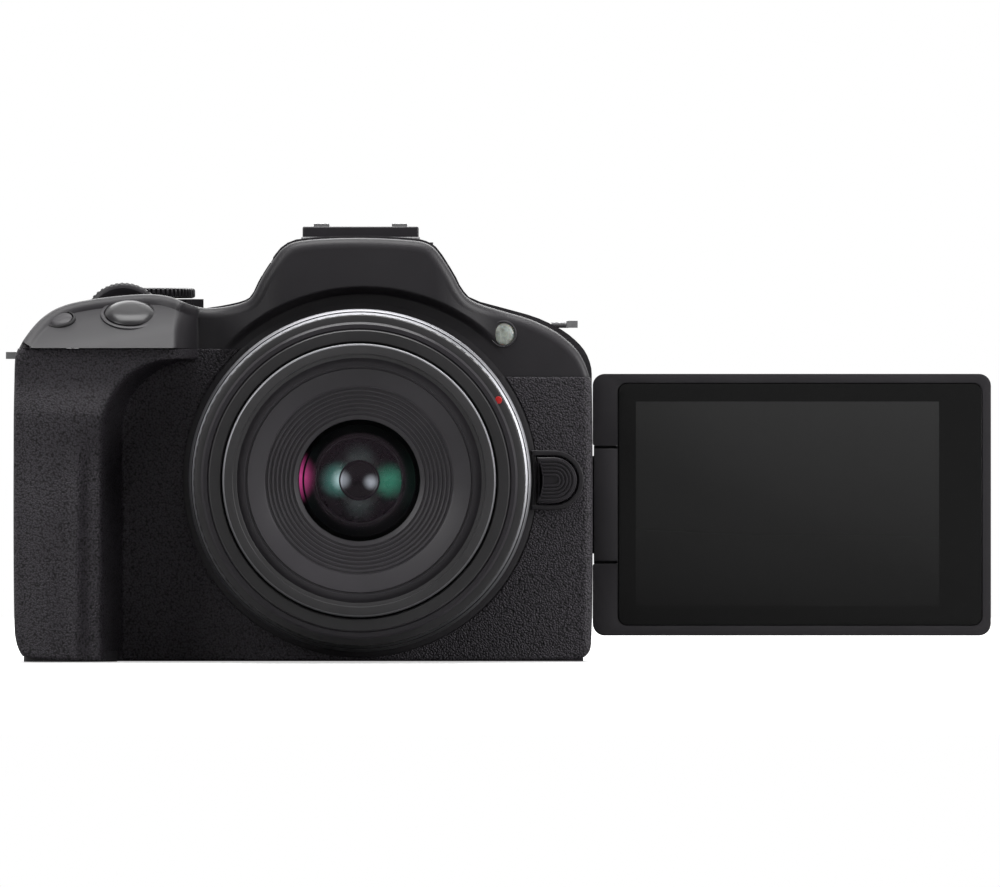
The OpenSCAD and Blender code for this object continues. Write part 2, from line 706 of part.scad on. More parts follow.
// Round button on the rear wall
module rear_button(place) {
  color([0.12, 0.12, 0.13]) rod_y(place[0], place[1], place[2], rear_y - 1.5, rear_y + 0.7);
}
module lock_button() rear_button(high_buttons[0]);
module focus_point_button() rear_button(high_buttons[1]);
module info_button() rear_button(low_buttons[0]);
module playback_button() rear_button(low_buttons[1]);
module menu_button() rear_button(low_buttons[2]);

module cross_key() color([0.1, 0.1, 0.1]) {
  difference() {
    rod_y(key_x, key_z, key_r, rear_y - 1.4, rear_y + 0.9);
    rod_y(key_x, key_z, set_r + gap, rear_y - 3, rear_y + 2);
  }
}

module set_button() color([0.14, 0.14, 0.15]) {
  rod_y(key_x, key_z, set_r, rear_y - 1.4, rear_y + 1.1);
}

module release_button() color([0.1, 0.1, 0.11]) {
  difference() {
    rod_y(release_x, lens_z, 3.9, front_y - 2.4, front_y + 1);
    barrel(lens_r + 2 * gap, flange_y - 9, front_y + 1.1);
  }
}

module lock_pin() color([0.7, 0.7, 0.7]) {
  rod_y(29.1, lens_z, 1.15, flange_y - 1.4, -12);
}

module focus_lamp() color([0.85, 0.83, 0.75]) {
  rod_y(lamp_x, lamp_z, 2.45, front_y - 0.3, front_y + wall);
}

module strap_lugs() color([0.45, 0.45, 0.46]) {
  for (side = [[left_x, -1, lug_left_z], [right_x - 5, 1, lug_right_z]])
    translate([side[0], lug_y, side[2]]) rotate([0, 90 * side[1], 0]) {
      translate([0, 0, -3.2]) cylinder(r = 0.75, h = 3.4);
      difference() {
        translate([-0.7, -4.5, 0]) cube([1.4, 9, 2.1]);
        translate([-1, -3.1, -0.01]) cube([2, 6.2, 1.2]);
      }
      translate([-0.7, -0.8, -0.2]) cube([1.4, 1.6, 1.6]);
    }
}

module terminal_cover() color([0.07, 0.07, 0.07]) {
  difference() {
    intersection() {
      body_slab(-6.2, 4.2, 0, deck_drop);
      box([right_x - 6, -far, top_seam_z - 4.4], [far, far, top_seam_z + 1.5]);
    }
    body_slab(-7, 5, wall, deck_drop);
  }
}

module port_cover() color([0.07, 0.07, 0.07]) {
  box([left_x + 0.1, port_y - 5.2, port_z - 12.7], [left_x + 1.4, port_y + 5.2, port_z + 12.7]);
}

module terminal_sockets() color([0.5, 0.5, 0.52]) {
  difference() {
    box([right_x - 12, -4.4, jack_z - 2.7], [right_x - 5.2, 4.5, jack_z + 2.7]);
    rod_x(-1, jack_z, 1.75, right_x - 11, right_x);
  }
}

module screen_frame() color([0.06, 0.06, 0.06]) {
  difference() {
    box([screen_x0, screen_y0, screen_z0], [screen_x1, screen_y0 + bezel_t, screen_z1]);
    box([arm_x1 + 0.6, screen_y0 - 1, screen_z0 + 2], [screen_x1 - 1.8, screen_y0 + 1, screen_z1 - 2]);
    box([arm_x1 + 3, screen_y0, screen_z0 + 4], [screen_x1 - 9, screen_y1, screen_z1 - 4]);
    screen_notch();
    rod_x(screen_yc, screen_zc, tilt_shaft_r + 0.02, screen_x0, arm_x1 + 3.1);
  }
}

module screen_notch() {
  box([screen_x0 - 1, screen_y0 - 9, screen_zc - notch_h / 2],
    [notch_x1, screen_y1 + 9, screen_zc + notch_h / 2]);
}

module screen_back() color([0.07, 0.07, 0.07]) {
  difference() {
    box([screen_x0, screen_y0 + bezel_t, screen_z0], [screen_x1, screen_y1, screen_z1]);
    box([arm_x1 + 8, screen_y0, screen_z0 + 1.6], [screen_x1 - 1.6, screen_y1 - 1.2, screen_z1 - 1.6]);
    screen_notch();
    rod_x(screen_yc, screen_zc, tilt_shaft_r, screen_x0, arm_x1 + 2.9);
  }
  rod_x(screen_yc, screen_zc, tilt_shaft_r, screen_x0 + 2.6, arm_x1 + 3);
}

module screen_glass() color([0.02, 0.02, 0.02]) {
  box([arm_x1 + 0.7, screen_y0 + 0.05, screen_z0 + 2.1],
    [screen_x1 - 1.9, screen_y0 + 1, screen_z1 - 2.1]);
}

module lcd_panel() color([0.1, 0.1, 0.11]) {
  box([arm_x1 + 3.2, screen_y0 + 1, screen_z0 + 4.2],
    [screen_x1 - 9.2, screen_y0 + 2.5, screen_z1 - 4.2]);
}

module hinge_arm() color([0.07, 0.07, 0.07]) {
  difference() {
    union() {
      box([screen_x0, screen_y0, screen_zc - arm_h / 2], [arm_x1, screen_y1, screen_zc + arm_h / 2]);
      translate([hinge_x, hinge_y, screen_zc - knuckle_mid / 2])
        cylinder(r = knuckle_r, h = knuckle_mid);
      box([hinge_x, screen_y1 - 1, screen_zc - knuckle_mid / 2],
        [hinge_x + knuckle_r, hinge_y, screen_zc + knuckle_mid / 2]);
    }
    translate([hinge_x, hinge_y, screen_zc - arm_h]) cylinder(r = hinge_pin_r + running, h = 2 * arm_h);
    for (side = [-1, 1]) translate([hinge_x, hinge_y, screen_zc + side * (knuckle_mid / 2 + 6)])
      cylinder(r = knuckle_r + gap, h = 12, center = true);
    rod_x(screen_yc, screen_zc, tilt_shaft_r + running, screen_x0 + 2.2, arm_x1 + 1);
  }
}

module hinge_bracket() color([0.6, 0.6, 0.62]) {
  for (side = [-1, 1])
    translate([hinge_x, hinge_y, screen_zc + side * (knuckle_h / 2 + knuckle_mid / 2 + gap) / 2]) {
      cylinder(r = knuckle_r - 0.2, h = (knuckle_h - knuckle_mid) / 2 - gap, center = true);
      translate([-4, -1, 0]) cube([8, 2, (knuckle_h - knuckle_mid) / 2 - gap], center = true);
    }
  box([right_x - 6.6, hinge_y - 2.6, screen_zc - knuckle_h / 2],
    [right_x - 3.4, hinge_y, screen_zc + knuckle_h / 2]);
  translate([hinge_x, hinge_y, screen_zc - knuckle_h / 2]) cylinder(r = hinge_pin_r, h = knuckle_h);
}

module lens_barrel() color([0.12, 0.12, 0.13]) {
  turned([[tube_r0, -flange_y + 2.25], [mount_r + 0.5, -flange_y + 2.25],
    [mount_r + 0.5, -barrel_y0], [lens_r - 1.2, -barrel_y0 + 0.4],
    [lens_r, -barrel_y0 + 2], [lens_r, -barrel_y1], [zoom_r - 1, -barrel_y1],
    [zoom_r - 1, -barrel_y0 + 4], [tube_r1, -barrel_y0 + 4], [tube_r1, -tube_y1 - 1],
    [tube_collar_r, -tube_y1 - 1], [tube_collar_r, -tube_y1], [tube_r0, -tube_y1]]);
}

module lens_bayonet() color([0.7, 0.7, 0.71]) {
  difference() {
    ring(mount_r + 0.4, 21, flange_y - 2.2, flange_y - 0.05);
    lug_sector(30.5, 27.7, flange_y - 1.7, flange_y + 1, -65, 70);
  }
  ring(25, 21, flange_y - 1, flange_y + 5);
  ring(23, 13.1, flange_y + 3.4, flange_y + 5);
  for (a = [-23, 97, 217]) lug_sector(26.7, 24.9, flange_y + 2.2, flange_y + 3.6, a, 46);
}

module zoom_ring() color([0.1, 0.1, 0.11]) {
  ring(zoom_r, tube_r1 + running, zoom_y1, zoom_y0);
}

module control_ring() color([0.1, 0.1, 0.11]) {
  ring(control_r, tube_r1 + running, control_y1, control_y1 + control_len);
}

module inner_barrel() color([0.15, 0.15, 0.16]) {
  ring(inner_r, inner_r - 1.8, lens_front_y, barrel_y0 - 9.5);
  ring(tube_r0 - running, inner_r - 1.8, barrel_y0 - 13.5, barrel_y0 - 9.5);
  ring(inner_r - 1, filter_r, lens_front_y, lens_front_y + 4);
}

module front_bezel() color([0.13, 0.13, 0.14]) {
  turned([[bezel_hole_r, -lens_front_y - 9], [bezel_hole_r, -lens_front_y - 7.5],
    for (i = [0:5]) each [[bezel_hole_r + 1 + i, -lens_front_y - 7.3 + i * 0.3],
      [bezel_hole_r + 1.9 + i, -lens_front_y - 7.3 + i * 0.3]],
    [filter_r - 3.6, -lens_front_y - 4.9], [filter_r - 0.3, -lens_front_y - 4.6],
    [inner_r - 1.9, -lens_front_y - 4.6], [inner_r - 1.9, -lens_front_y - 7.5],
    [cell_r + 1.4, -lens_front_y - 9], [cell_r + 1.4, -lens_front_y - 14],
    [cell_r, -lens_front_y - 14], [cell_r, -lens_front_y - 9]]);
}

module front_element() color([0.2, 0.3, 0.3, 0.4]) {
  translate([0, 0, lens_z]) rotate([90, 0, 0]) rotate_extrude($fn = 96) intersection() {
    translate([0, -lens_front_y - 14]) square([cell_r - running, 5]);
    translate([0, -lens_front_y - 9.1 - 30]) circle(r = 30, $fn = 160);
  }
}

module rear_element() color([0.2, 0.25, 0.3, 0.4]) {
  barrel(13, flange_y + 1, flange_y + 4.6);
}

front_cover();
top_cover();
rear_cover();
base_plate();
front_leatherette();
chassis();
mount_ring();
body_contacts();
image_sensor();
shutter_unit();
main_board();
battery_case();
battery();
memory_card();
battery_door();
door_latch();
tripod_socket();
viewfinder_housing();
eyepiece_lens();
eyecup();
diopter_dial();
shoe_base();
shoe_rails();
flash_head();
flash_window();
mode_dial();
power_lever();
main_dial();
shutter_button();
iso_button();
movie_button();
lock_button();
focus_point_button();
info_button();
playback_button();
menu_button();
cross_key();
set_button();
release_button();
lock_pin();
focus_lamp();
strap_lugs();
terminal_cover();
port_cover();
terminal_sockets();
case_screws();
screen_frame();
screen_back();
screen_glass();
lcd_panel();
hinge_arm();
hinge_bracket();
lens_barrel();
lens_bayonet();
zoom_ring();
control_ring();
inner_barrel();
front_bezel();
front_element();
rear_element();
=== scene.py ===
import json
import math
import bmesh
import bpy
from mathutils import Matrix, Vector

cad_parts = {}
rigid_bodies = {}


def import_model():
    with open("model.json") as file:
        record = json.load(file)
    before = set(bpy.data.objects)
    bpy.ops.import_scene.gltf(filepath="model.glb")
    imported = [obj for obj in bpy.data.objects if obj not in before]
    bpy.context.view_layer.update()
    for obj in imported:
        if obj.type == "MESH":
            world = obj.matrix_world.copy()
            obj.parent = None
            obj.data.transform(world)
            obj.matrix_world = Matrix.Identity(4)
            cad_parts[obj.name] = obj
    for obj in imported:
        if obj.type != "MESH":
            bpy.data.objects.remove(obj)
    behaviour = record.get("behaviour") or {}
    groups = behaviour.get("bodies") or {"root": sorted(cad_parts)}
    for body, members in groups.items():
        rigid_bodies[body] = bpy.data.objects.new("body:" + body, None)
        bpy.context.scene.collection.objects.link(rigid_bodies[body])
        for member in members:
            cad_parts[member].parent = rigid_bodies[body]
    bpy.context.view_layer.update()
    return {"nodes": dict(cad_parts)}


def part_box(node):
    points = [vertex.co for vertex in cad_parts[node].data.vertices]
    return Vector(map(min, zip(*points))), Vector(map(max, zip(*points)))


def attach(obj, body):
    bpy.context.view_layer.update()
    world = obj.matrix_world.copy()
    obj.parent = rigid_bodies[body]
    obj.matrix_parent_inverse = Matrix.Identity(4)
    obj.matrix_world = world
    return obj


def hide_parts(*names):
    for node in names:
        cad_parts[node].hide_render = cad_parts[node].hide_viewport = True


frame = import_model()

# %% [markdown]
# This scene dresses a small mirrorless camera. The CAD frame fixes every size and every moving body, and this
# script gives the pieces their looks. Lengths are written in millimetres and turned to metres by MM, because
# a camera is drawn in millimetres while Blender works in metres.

MM = 0.001
scene = bpy.context.scene
scene.view_settings.view_transform = "Standard"

# %% [markdown]
# The camera looks straight at the front from far away through a long lens, as a catalogue view does. A long
# distance keeps parallel edges parallel, so a ring keeps the same size whether it is near or far.

# %% Camera
VIEW_WIDTH = 201.6 * MM
VIEW_DISTANCE = 6.0
VIEW_CENTRE = Vector((28.2, -20.0, 43.9)) * MM
lens_data = bpy.data.cameras.new("front_view")
lens_data.sensor_width = 36
lens_data.lens = lens_data.sensor_width * VIEW_DISTANCE / VIEW_WIDTH
lens_data.clip_start = 0.01
lens_data.clip_end = 40
view_camera = bpy.data.objects.new("front_view", lens_data)
view_camera.location = VIEW_CENTRE + Vector((0, -VIEW_DISTANCE, 0))
view_camera.rotation_euler = (math.pi / 2, 0, 0)
scene.collection.objects.link(view_camera)
scene.camera = view_camera
print("focal length:", round(lens_data.lens))

# %% [markdown]
# Shader maths reads best as plain Python. This small class wraps a node's output, so that 1 - mask or noise *
# 0.3 adds the Math node by itself. One method makes every other node.

# %% Sockets that do maths
class Value:
    def __init__(self, finish, socket):
        self.finish = finish
        self.socket = socket

    def maths(self, operation, other, swapped=False):
        pair = [other, self] if swapped else [self, other]
        return self.finish.node("ShaderNodeMath", {"operation": operation}, {0: pair[0], 1: pair[1]})

    def __add__(self, other):
        return self.maths("ADD", other)

    def __mul__(self, other):
        return self.maths("MULTIPLY", other)

    def __sub__(self, other):
        return self.maths("SUBTRACT", other)

    def __rsub__(self, other):
        return self.maths("SUBTRACT", other, swapped=True)

    def __gt__(self, other):
        return self.maths("GREATER_THAN", other)

    __radd__ = __add__
    __rmul__ = __mul__


class Finish:
    def __init__(self, name, **surface):
        self.material = bpy.data.materials.new(name)
        self.material.use_nodes = True
        self.tree = self.material.node_tree
        self.tree.nodes.clear()
        self.output = self.tree.nodes.new("ShaderNodeOutputMaterial")
        self.surface = self.tree.nodes.new("ShaderNodeBsdfPrincipled")
        self.tree.links.new(self.surface.outputs[0], self.output.inputs[0])
        self.place = self.node("ShaderNodeTexCoord", {}, {}, "Object")
        self.set(**surface)

    def node(self, kind, settings, inputs, output=0):
        made = self.tree.nodes.new(kind)
        for name, value in settings.items():
            if name == "ramp":
                stops = made.color_ramp.elements
                for index, (place, colour) in enumerate(value):
                    stop = stops[index] if index < 2 else stops.new(place)
                    stop.position = place
                    stop.color = colour
            else:
                setattr(made, name, value)
        for name, value in inputs.items():
            self.join(value, made.inputs[name])
        return Value(self, made.outputs[output])

    def join(self, value, socket):
        if isinstance(value, Value):
            self.tree.links.new(value.socket, socket)
        else:
            socket.default_value = value

    def set(self, **values):
        for name, value in values.items():
            self.join(value, self.surface.inputs[name.replace("_", " ")])
        return self

    def noise(self, scale, detail=3.0, rough=0.5):
        values = {"Vector": self.place, "Scale": scale, "Detail": detail, "Roughness": rough}
        return self.node("ShaderNodeTexNoise", {}, values)

    def cells(self, scale, smooth=None):
        values = {"Vector": self.place, "Scale": scale}
        if smooth is None:
            return self.node("ShaderNodeTexVoronoi", {"feature": "F1"}, values)
        values["Smoothness"] = smooth
        return self.node("ShaderNodeTexVoronoi", {"feature": "SMOOTH_F1"}, values)

    def along(self, axis):
        return self.node("ShaderNodeSeparateXYZ", {}, {0: self.place}, axis)

    def vector(self, operation, inputs, output=0):
        return self.node("ShaderNodeVectorMath", {"operation": operation}, inputs, output)

    def fade(self, value, start, end, low, high, kind="LINEAR"):
        limits = {"Value": value, "From Min": start, "From Max": end, "To Min": low, "To Max": high}
        return self.node("ShaderNodeMapRange", {"interpolation_type": kind}, limits)

    def ramp(self, value, stops):
        return self.node("ShaderNodeValToRGB", {"ramp": stops}, {0: value})

    def relief(self, height, depth, strength=1.0):
        values = {"Height": height, "Distance": depth, "Strength": strength}
        return self.set(Normal=self.node("ShaderNodeBump", {}, values))


def grey(level, warm=0.0):
    return (level * (1 + warm), level, level * (1 + warm * 1.6), 1)


print("maths ready")

# %% [markdown]
# The covers are moulded black plastic with a very fine spark-eroded texture. Two noises carry it: a fine one
# bends the light and a broad one moves the roughness a little, so large faces are never dead flat.

# %% Moulded plastics
def moulded(name, level, rough, grain=2600.0, depth=0.00002, warm=0.1, coat=0.0):
    finish = Finish(name, IOR=1.48)
    fine = finish.noise(grain, 2.0, 0.6)
    broad = finish.noise(60.0, 4.0, 0.6)
    tint = finish.ramp(broad, [(0.3, grey(level * 0.88, warm)), (0.7, grey(level * 1.12, warm))])
    finish.set(Base_Color=tint, Roughness=rough - 0.06 + 0.12 * broad, Coat_Weight=coat)
    finish.relief(fine, depth, 0.55)
    return finish.material


body_plastic = moulded("body_plastic", 0.02, 0.48)
deck_plastic = moulded("deck_plastic", 0.026, 0.42)
satin_plastic = moulded("satin_plastic", 0.026, 0.3, 1800.0, 0.000008)
lens_plastic = moulded("lens_plastic", 0.034, 0.33, 2200.0, 0.00001, 0.03)
bezel_plastic = moulded("bezel_plastic", 0.04, 0.4, 2400.0, 0.00001, 0.08)
matt_black = moulded("matt_black", 0.006, 0.6, 1500.0, 0.00001)
dial_plastic = moulded("dial_plastic", 0.02, 0.38, 2000.0, 0.00001)
rubber = moulded("rubber", 0.014, 0.62, 1500.0, 0.00003)
gloss_button = moulded("gloss_button", 0.014, 0.3, 900.0, 0.000002, 0.08, 0.1)
battery_grey = moulded("battery_grey", 0.09, 0.5, 1200.0)
card_plastic = moulded("card_plastic", 0.02, 0.45, 1500.0, 0.00001, 0.0)
red_paint = Finish("red_paint", Base_Color=(0.62, 0.02, 0.02, 1))
red_paint.set(Roughness=0.35 + 0.1 * red_paint.noise(500.0)).relief(red_paint.noise(2500.0), 0.000004)
print("plastics ready")

# %% [markdown]
# The grip is covered with a soft skin that has a pebbled leather grain. Rounded Voronoi cells make the
# pebbles, a noise breaks their rows up, and the valleys between them are a little darker and duller than the
# tops.

# %% Leather skin
PEBBLE_SCALE = 2600.0


def leather(name):
    finish = Finish(name, IOR=1.46)
    warp = finish.noise(1700.0, 2.0, 0.5)
    pebbles = finish.cells(PEBBLE_SCALE, 0.45)
    wrinkles = finish.noise(PEBBLE_SCALE, 3.0, 0.65)
    height = 1.0 - pebbles * 1.25 + 0.55 * wrinkles + 0.25 * warp
    tone = finish.ramp(height, [(0.35, grey(0.004, 0.1)), (0.95, grey(0.035, 0.15))])
    finish.set(Base_Color=tone, Roughness=0.74 - 0.22 * height)
    finish.relief(height, 0.0002, 0.8)
    return finish.material


leather_skin = leather("leather_skin")
print("leather ready")

# %% [markdown]
# Metal parts differ in how they were worked. Rings and rails have fine lines in one direction, so their noise
# is stretched by a Mapping node. The other parts have an even grain.

# %% Metals and glass
def metal(name, colour, rough, stretch=(1, 1, 1), grain=700.0):
    finish = Finish(name, Metallic=1.0)
    mapped = finish.node("ShaderNodeMapping", {}, {"Vector": finish.place, "Scale": stretch})
    lines = finish.node("ShaderNodeTexNoise", {}, {"Vector": mapped, "Scale": grain, "Detail": 3.0})
    tone = finish.ramp(lines, [(0.2, tuple(0.8 * c for c in colour) + (1,)), (0.8, colour + (1,))])
    finish.set(Base_Color=tone, Roughness=rough + 0.14 * lines)
    finish.relief(lines, 0.000006, 0.4)
    return finish.material


def glass(name, tint, glint, strength):
    finish = Finish(name, Transmission_Weight=1.0, IOR=1.5, Specular_Tint=glint)
    finish.set(Specular_IOR_Level=strength)
    smear = finish.noise(35.0, 2.0)
    finish.set(Roughness=0.01 + 0.02 * smear, Base_Color=tint)
    return finish.material


# This bright satin metal stands for a highlight: it paints the light lines on the lens's bevelled edge bands
# and on the barrel's lip.
rim_highlight_metal = metal("rim_highlight_metal", (0.36, 0.36, 0.38), 0.38, (1, 14, 1))
shoe_steel = metal("shoe_steel", (0.72, 0.72, 0.73), 0.24, (1, 12, 1))
bare_alloy = metal("bare_alloy", (0.55, 0.55, 0.56), 0.38)
dark_screw = metal("dark_screw", (0.08, 0.08, 0.085), 0.35)
gold = metal("gold_contacts", (0.83, 0.62, 0.25), 0.25)
front_glass = glass("front_glass", (1, 1, 1, 1), (0.7, 0.5, 0.65, 1), 0.1)
finder_glass = glass("finder_glass", (0.5, 0.55, 0.6, 1), (0.7, 0.8, 1.0, 1), 0.6)
print("metals and clear glass ready")

# %% [markdown]
# A coated lens mirrors a bright room in soft coloured spots. No room stands round this scene, so each spot is
# painted: it has a place in the front view, a reach where it has faded out, an inner radius where it is still
# full, and a colour that glows faintly. A noise clouds the spots, as real coatings are never even.

# %% Coated glass
def spot(finish, place, reach, inner):
    flat = finish.vector("MULTIPLY", {0: finish.place, 1: (1, 0, 1)})
    centre = (place[0] * MM, 0, place[1] * MM)
    away = finish.vector("DISTANCE", {0: flat, 1: centre}, "Value")
    return finish.fade(away, inner * MM, reach * MM, 1.0, 0.0, "SMOOTHSTEP")


def coated(name, glints, base, rough):
    finish = Finish(name, Base_Color=base, Coat_Weight=0.15, IOR=1.5, Emission_Strength=1.0)
    cloud = finish.noise(420.0, 3.0, 0.6)
    total = finish.vector("SCALE", {0: FAINT, "Scale": cloud})
    for place, reach, inner, colour in glints:
        amount = spot(finish, place, reach, inner) * (0.55 + 0.9 * cloud)
        part = finish.vector("SCALE", {0: colour, "Scale": amount})
        total = finish.vector("ADD", {0: total, 1: part})
    finish.set(Emission_Color=total, Roughness=rough + 0.05 * cloud)
    return finish.material


# FAINT is a faint painted glow over each whole coated face. The glint lists hold painted reflections, and the
# sensor's deep blue spot is one too.
FAINT = (0.0008, 0.001, 0.001)
TEAL, GREEN = (0.05, 0.16, 0.14), (0.025, 0.15, 0.1)
PINK, DEEP_PINK = (0.32, 0.04, 0.15), (0.12, 0.01, 0.05)
PEARL, SMOKE, DEEP_BLUE = (0.3, 0.32, 0.36), (0.02, 0.026, 0.026), (0.004, 0.012, 0.018)
glass_glints = [((-4.2, 36.6), 4.2, 0.2, TEAL), ((5.9, 36.4), 4.2, 0.2, GREEN),
                ((-3.6, 36.6), 2.4, 0.0, PEARL), ((0.0, 40.6), 4.0, 0.5, SMOKE),
                ((0.0, 32.0), 4.0, 0.5, SMOKE)]
cell_glints = [((-14.6, 37.2), 6.6, 2.6, PINK), ((-12.2, 37.2), 3.4, 0.4, DEEP_PINK),
               ((2.2, 36.2), 1.9, 0.0, PEARL), ((-3.6, 36.6), 2.4, 0.0, PEARL)]
coated_glass = coated("coated_glass", glass_glints, (0.006, 0.01, 0.01, 1), 0.25)
cell_black = coated("cell_black", cell_glints, (0.003, 0.003, 0.004, 1), 0.5)
sensor_glass = coated("sensor_glass", [((2.0, 40.0), 16.0, 2.0, DEEP_BLUE)], (0.02, 0.035, 0.05, 1), 0.12)


def circuit(name):
    finish = Finish(name, IOR=1.5)
    tracks = finish.cells(260.0)
    tone = finish.ramp(tracks, [(0.25, (0.015, 0.1, 0.04, 1)), (0.6, (0.03, 0.2, 0.08, 1))])
    finish.set(Base_Color=tone, Roughness=0.35 + 0.2 * tracks)
    finish.relief(tracks, 0.00003)
    return finish.material


board_green = circuit("board_green")
print("coated glass and circuit board ready")

# %% [markdown]
# The screen's cover glass is almost black and smooth. The panel under it shows as a slightly paler rectangle,
# with a painted sheen that makes it lighter towards the top. It is off, so it gives no light of its own. The
# focus lamp and the flash have a frosted lens with a fine cell pattern.

# %% Screen and lamp finishes
PANEL_LOW, PANEL_HIGH = (55.7, 11.0), (117.1, 52.4)


def panel_finish(name, level, rough):
    finish = Finish(name, IOR=1.5)
    sheen = finish.noise(12.0, 1.0)
    tone = finish.ramp(sheen, [(0.2, grey(level * 0.9)), (0.8, grey(level * 1.1))])
    finish.set(Base_Color=tone, Roughness=rough + 0.03 * sheen)
    return finish.material


def cover_glass_finish(name):
    finish = Finish(name, IOR=1.5)
    sheen = finish.noise(12.0, 1.0)
    across, upward = finish.along("X"), finish.along("Z")
    inside = (across > PANEL_LOW[0] * MM) * (upward > PANEL_LOW[1] * MM)
    shown = inside * (1.0 - (across > PANEL_HIGH[0] * MM)) * (1.0 - (upward > PANEL_HIGH[1] * MM))
    # Painted sheen: the panel is painted lighter towards the top, where the top light falls on it.
    fade = finish.fade(upward, 11 * MM, 52 * MM, 0.003, 0.022)
    finish.set(Base_Color=(0.004 + fade * shown) * (0.9 + 0.2 * sheen), Roughness=0.12 + 0.03 * sheen)
    return finish.material


def frosted(name, colour):
    finish = Finish(name, IOR=1.45, Subsurface_Weight=0.25)
    cells = finish.cells(900.0)
    cloud = finish.noise(400.0, 4.0, 0.7)
    dark = tuple(0.45 * c for c in colour)
    tone = finish.ramp(cloud + 0.5 * cells, [(0.35, dark + (1,)), (0.85, colour + (1,))])
    finish.set(Base_Color=tone, Roughness=0.2 + 0.2 * cloud, Coat_Weight=0.7)
    finish.relief(cells + cloud, 0.0002, 0.8)
    return finish.material


cover_glass = cover_glass_finish("cover_glass")
dark_panel = panel_finish("dark_panel", 0.0115, 0.22)
lamp_lens = frosted("lamp_lens", (0.44, 0.42, 0.37))
flash_lens = frosted("flash_lens", (0.8, 0.8, 0.76))
print("screen and lamp finishes ready")

# %% [markdown]
# The floor is plain and pale, lies a hair below the base plate and is see-through from below. What the camera
# sees of it glows, more so far out, so that the backdrop stays white while the object keeps its soft shadow.
# The world is white to the camera and a dim studio grey to the surfaces, with a bright wall behind the object
# that glossy edges mirror.

# %% Stage
FLOOR_DROP = 0.0002
FLOOR_HALF = 1.5
WALL_START = 0.35


def stage_floor():
    mesh = bpy.data.meshes.new("floor")
    bm = bmesh.new()
    bmesh.ops.create_grid(bm, x_segments=1, y_segments=1, size=FLOOR_HALF)
    bm.to_mesh(mesh)
    bm.free()
    floor = bpy.data.objects.new("floor", mesh)
    floor.location.z = -FLOOR_DROP
    scene.collection.objects.link(floor)
    finish = Finish("pale_floor", Roughness=0.9, Specular_IOR_Level=0.1, Emission_Strength=1.0)
    speck = finish.noise(9.0, 2.0)
    mirrored = finish.node("ShaderNodeLightPath", {}, {}, "Is Glossy Ray")
    dim = finish.fade(mirrored, 0.0, 1.0, 0.7, 0.12)
    finish.set(Base_Color=dim * (0.95 + 0.1 * speck))
    seen = finish.node("ShaderNodeLightPath", {}, {}, "Is Camera Ray")
    glow = finish.fade(finish.vector("LENGTH", {0: finish.place}, "Value"), 0.15, 0.55, 0.55, 1.0)
    below = finish.node("ShaderNodeNewGeometry", {}, {}, "Backfacing")
    finish.set(Emission_Color=glow * seen, Alpha=1.0 - below)
    mesh.materials.append(finish.material)


def sky_maths(tree, operation, first, second):
    node = tree.nodes.new("ShaderNodeMath")
    node.operation = operation
    for socket, value in zip(node.inputs, (first, second)):
        if isinstance(value, float):
            socket.default_value = value
        else:
            tree.links.new(value, socket)
    return node.outputs[0]


def stage_world(lit_level):
    world = bpy.data.worlds.new("studio")
    scene.world = world
    world.use_nodes = True
    tree = world.node_tree
    tree.nodes.clear()
    output = tree.nodes.new("ShaderNodeOutputWorld")
    background = tree.nodes.new("ShaderNodeBackground")
    background.inputs["Color"].default_value = (1, 1, 1, 1)
    path = tree.nodes.new("ShaderNodeLightPath")
    place = tree.nodes.new("ShaderNodeTexCoord")
    split = tree.nodes.new("ShaderNodeSeparateXYZ")
    tree.links.new(place.outputs["Generated"], split.inputs[0])
    behind = sky_maths(tree, "GREATER_THAN", split.outputs["Y"], WALL_START)
    mirrored = sky_maths(tree, "ADD", path.outputs["Is Glossy Ray"], path.outputs["Is Transmission Ray"])
    shown = sky_maths(tree, "MULTIPLY", behind, mirrored)
    share = sky_maths(tree, "MAXIMUM", shown, path.outputs["Is Camera Ray"])
    level = tree.nodes.new("ShaderNodeMapRange")
    level.inputs["To Min"].default_value = lit_level
    level.inputs["To Max"].default_value = 1.0
    tree.links.new(share, level.inputs["Value"])
    tree.links.new(level.outputs["Result"], background.inputs["Strength"])
    tree.links.new(background.outputs[0], output.inputs[0])


def soft_lamp(name, place, aim, size, power):
    data = bpy.data.lights.new(name, "AREA")
    data.shape = "RECTANGLE"
    data.size, data.size_y = size
    data.energy = power
    lamp = bpy.data.objects.new(name, data)
    lamp.location = Vector(place)
    lamp.rotation_euler = (Vector(aim) - lamp.location).to_track_quat("-Z", "Y").to_euler()
    scene.collection.objects.link(lamp)


stage_floor()
stage_world(0.22)
soft_lamp("top_box", (0.0, -0.1, 1.3), (0, 0, 0.04), (1.2, 0.7), 16)
soft_lamp("left_box", (-1.1, -0.9, 0.8), (0, 0, 0.04), (0.5, 1.1), 7)
soft_lamp("right_box", (1.4, -0.45, 0.5), (0, 0, 0.04), (0.4, 1.1), 16)
soft_lamp("back_box", (0.2, 1.3, 0.9), (0, 0, 0.05), (1.4, 0.7), 12)
print("stage ready")

# %% [markdown]
# Most parts of a lens are turned, so one helper spins a profile round an axis. The profile lists radius and
# station. Ribs are pressed in afterwards: each vertex between two stations moves inwards or stays, depending
# on its angle, as a knurling wheel does to the real ring. A test on a face's middle picks the second
# material.

# %% Turned pieces
LENS_AXIS = Vector((0, 0, 36.5))
FORWARD = Vector((0, -1, 0))


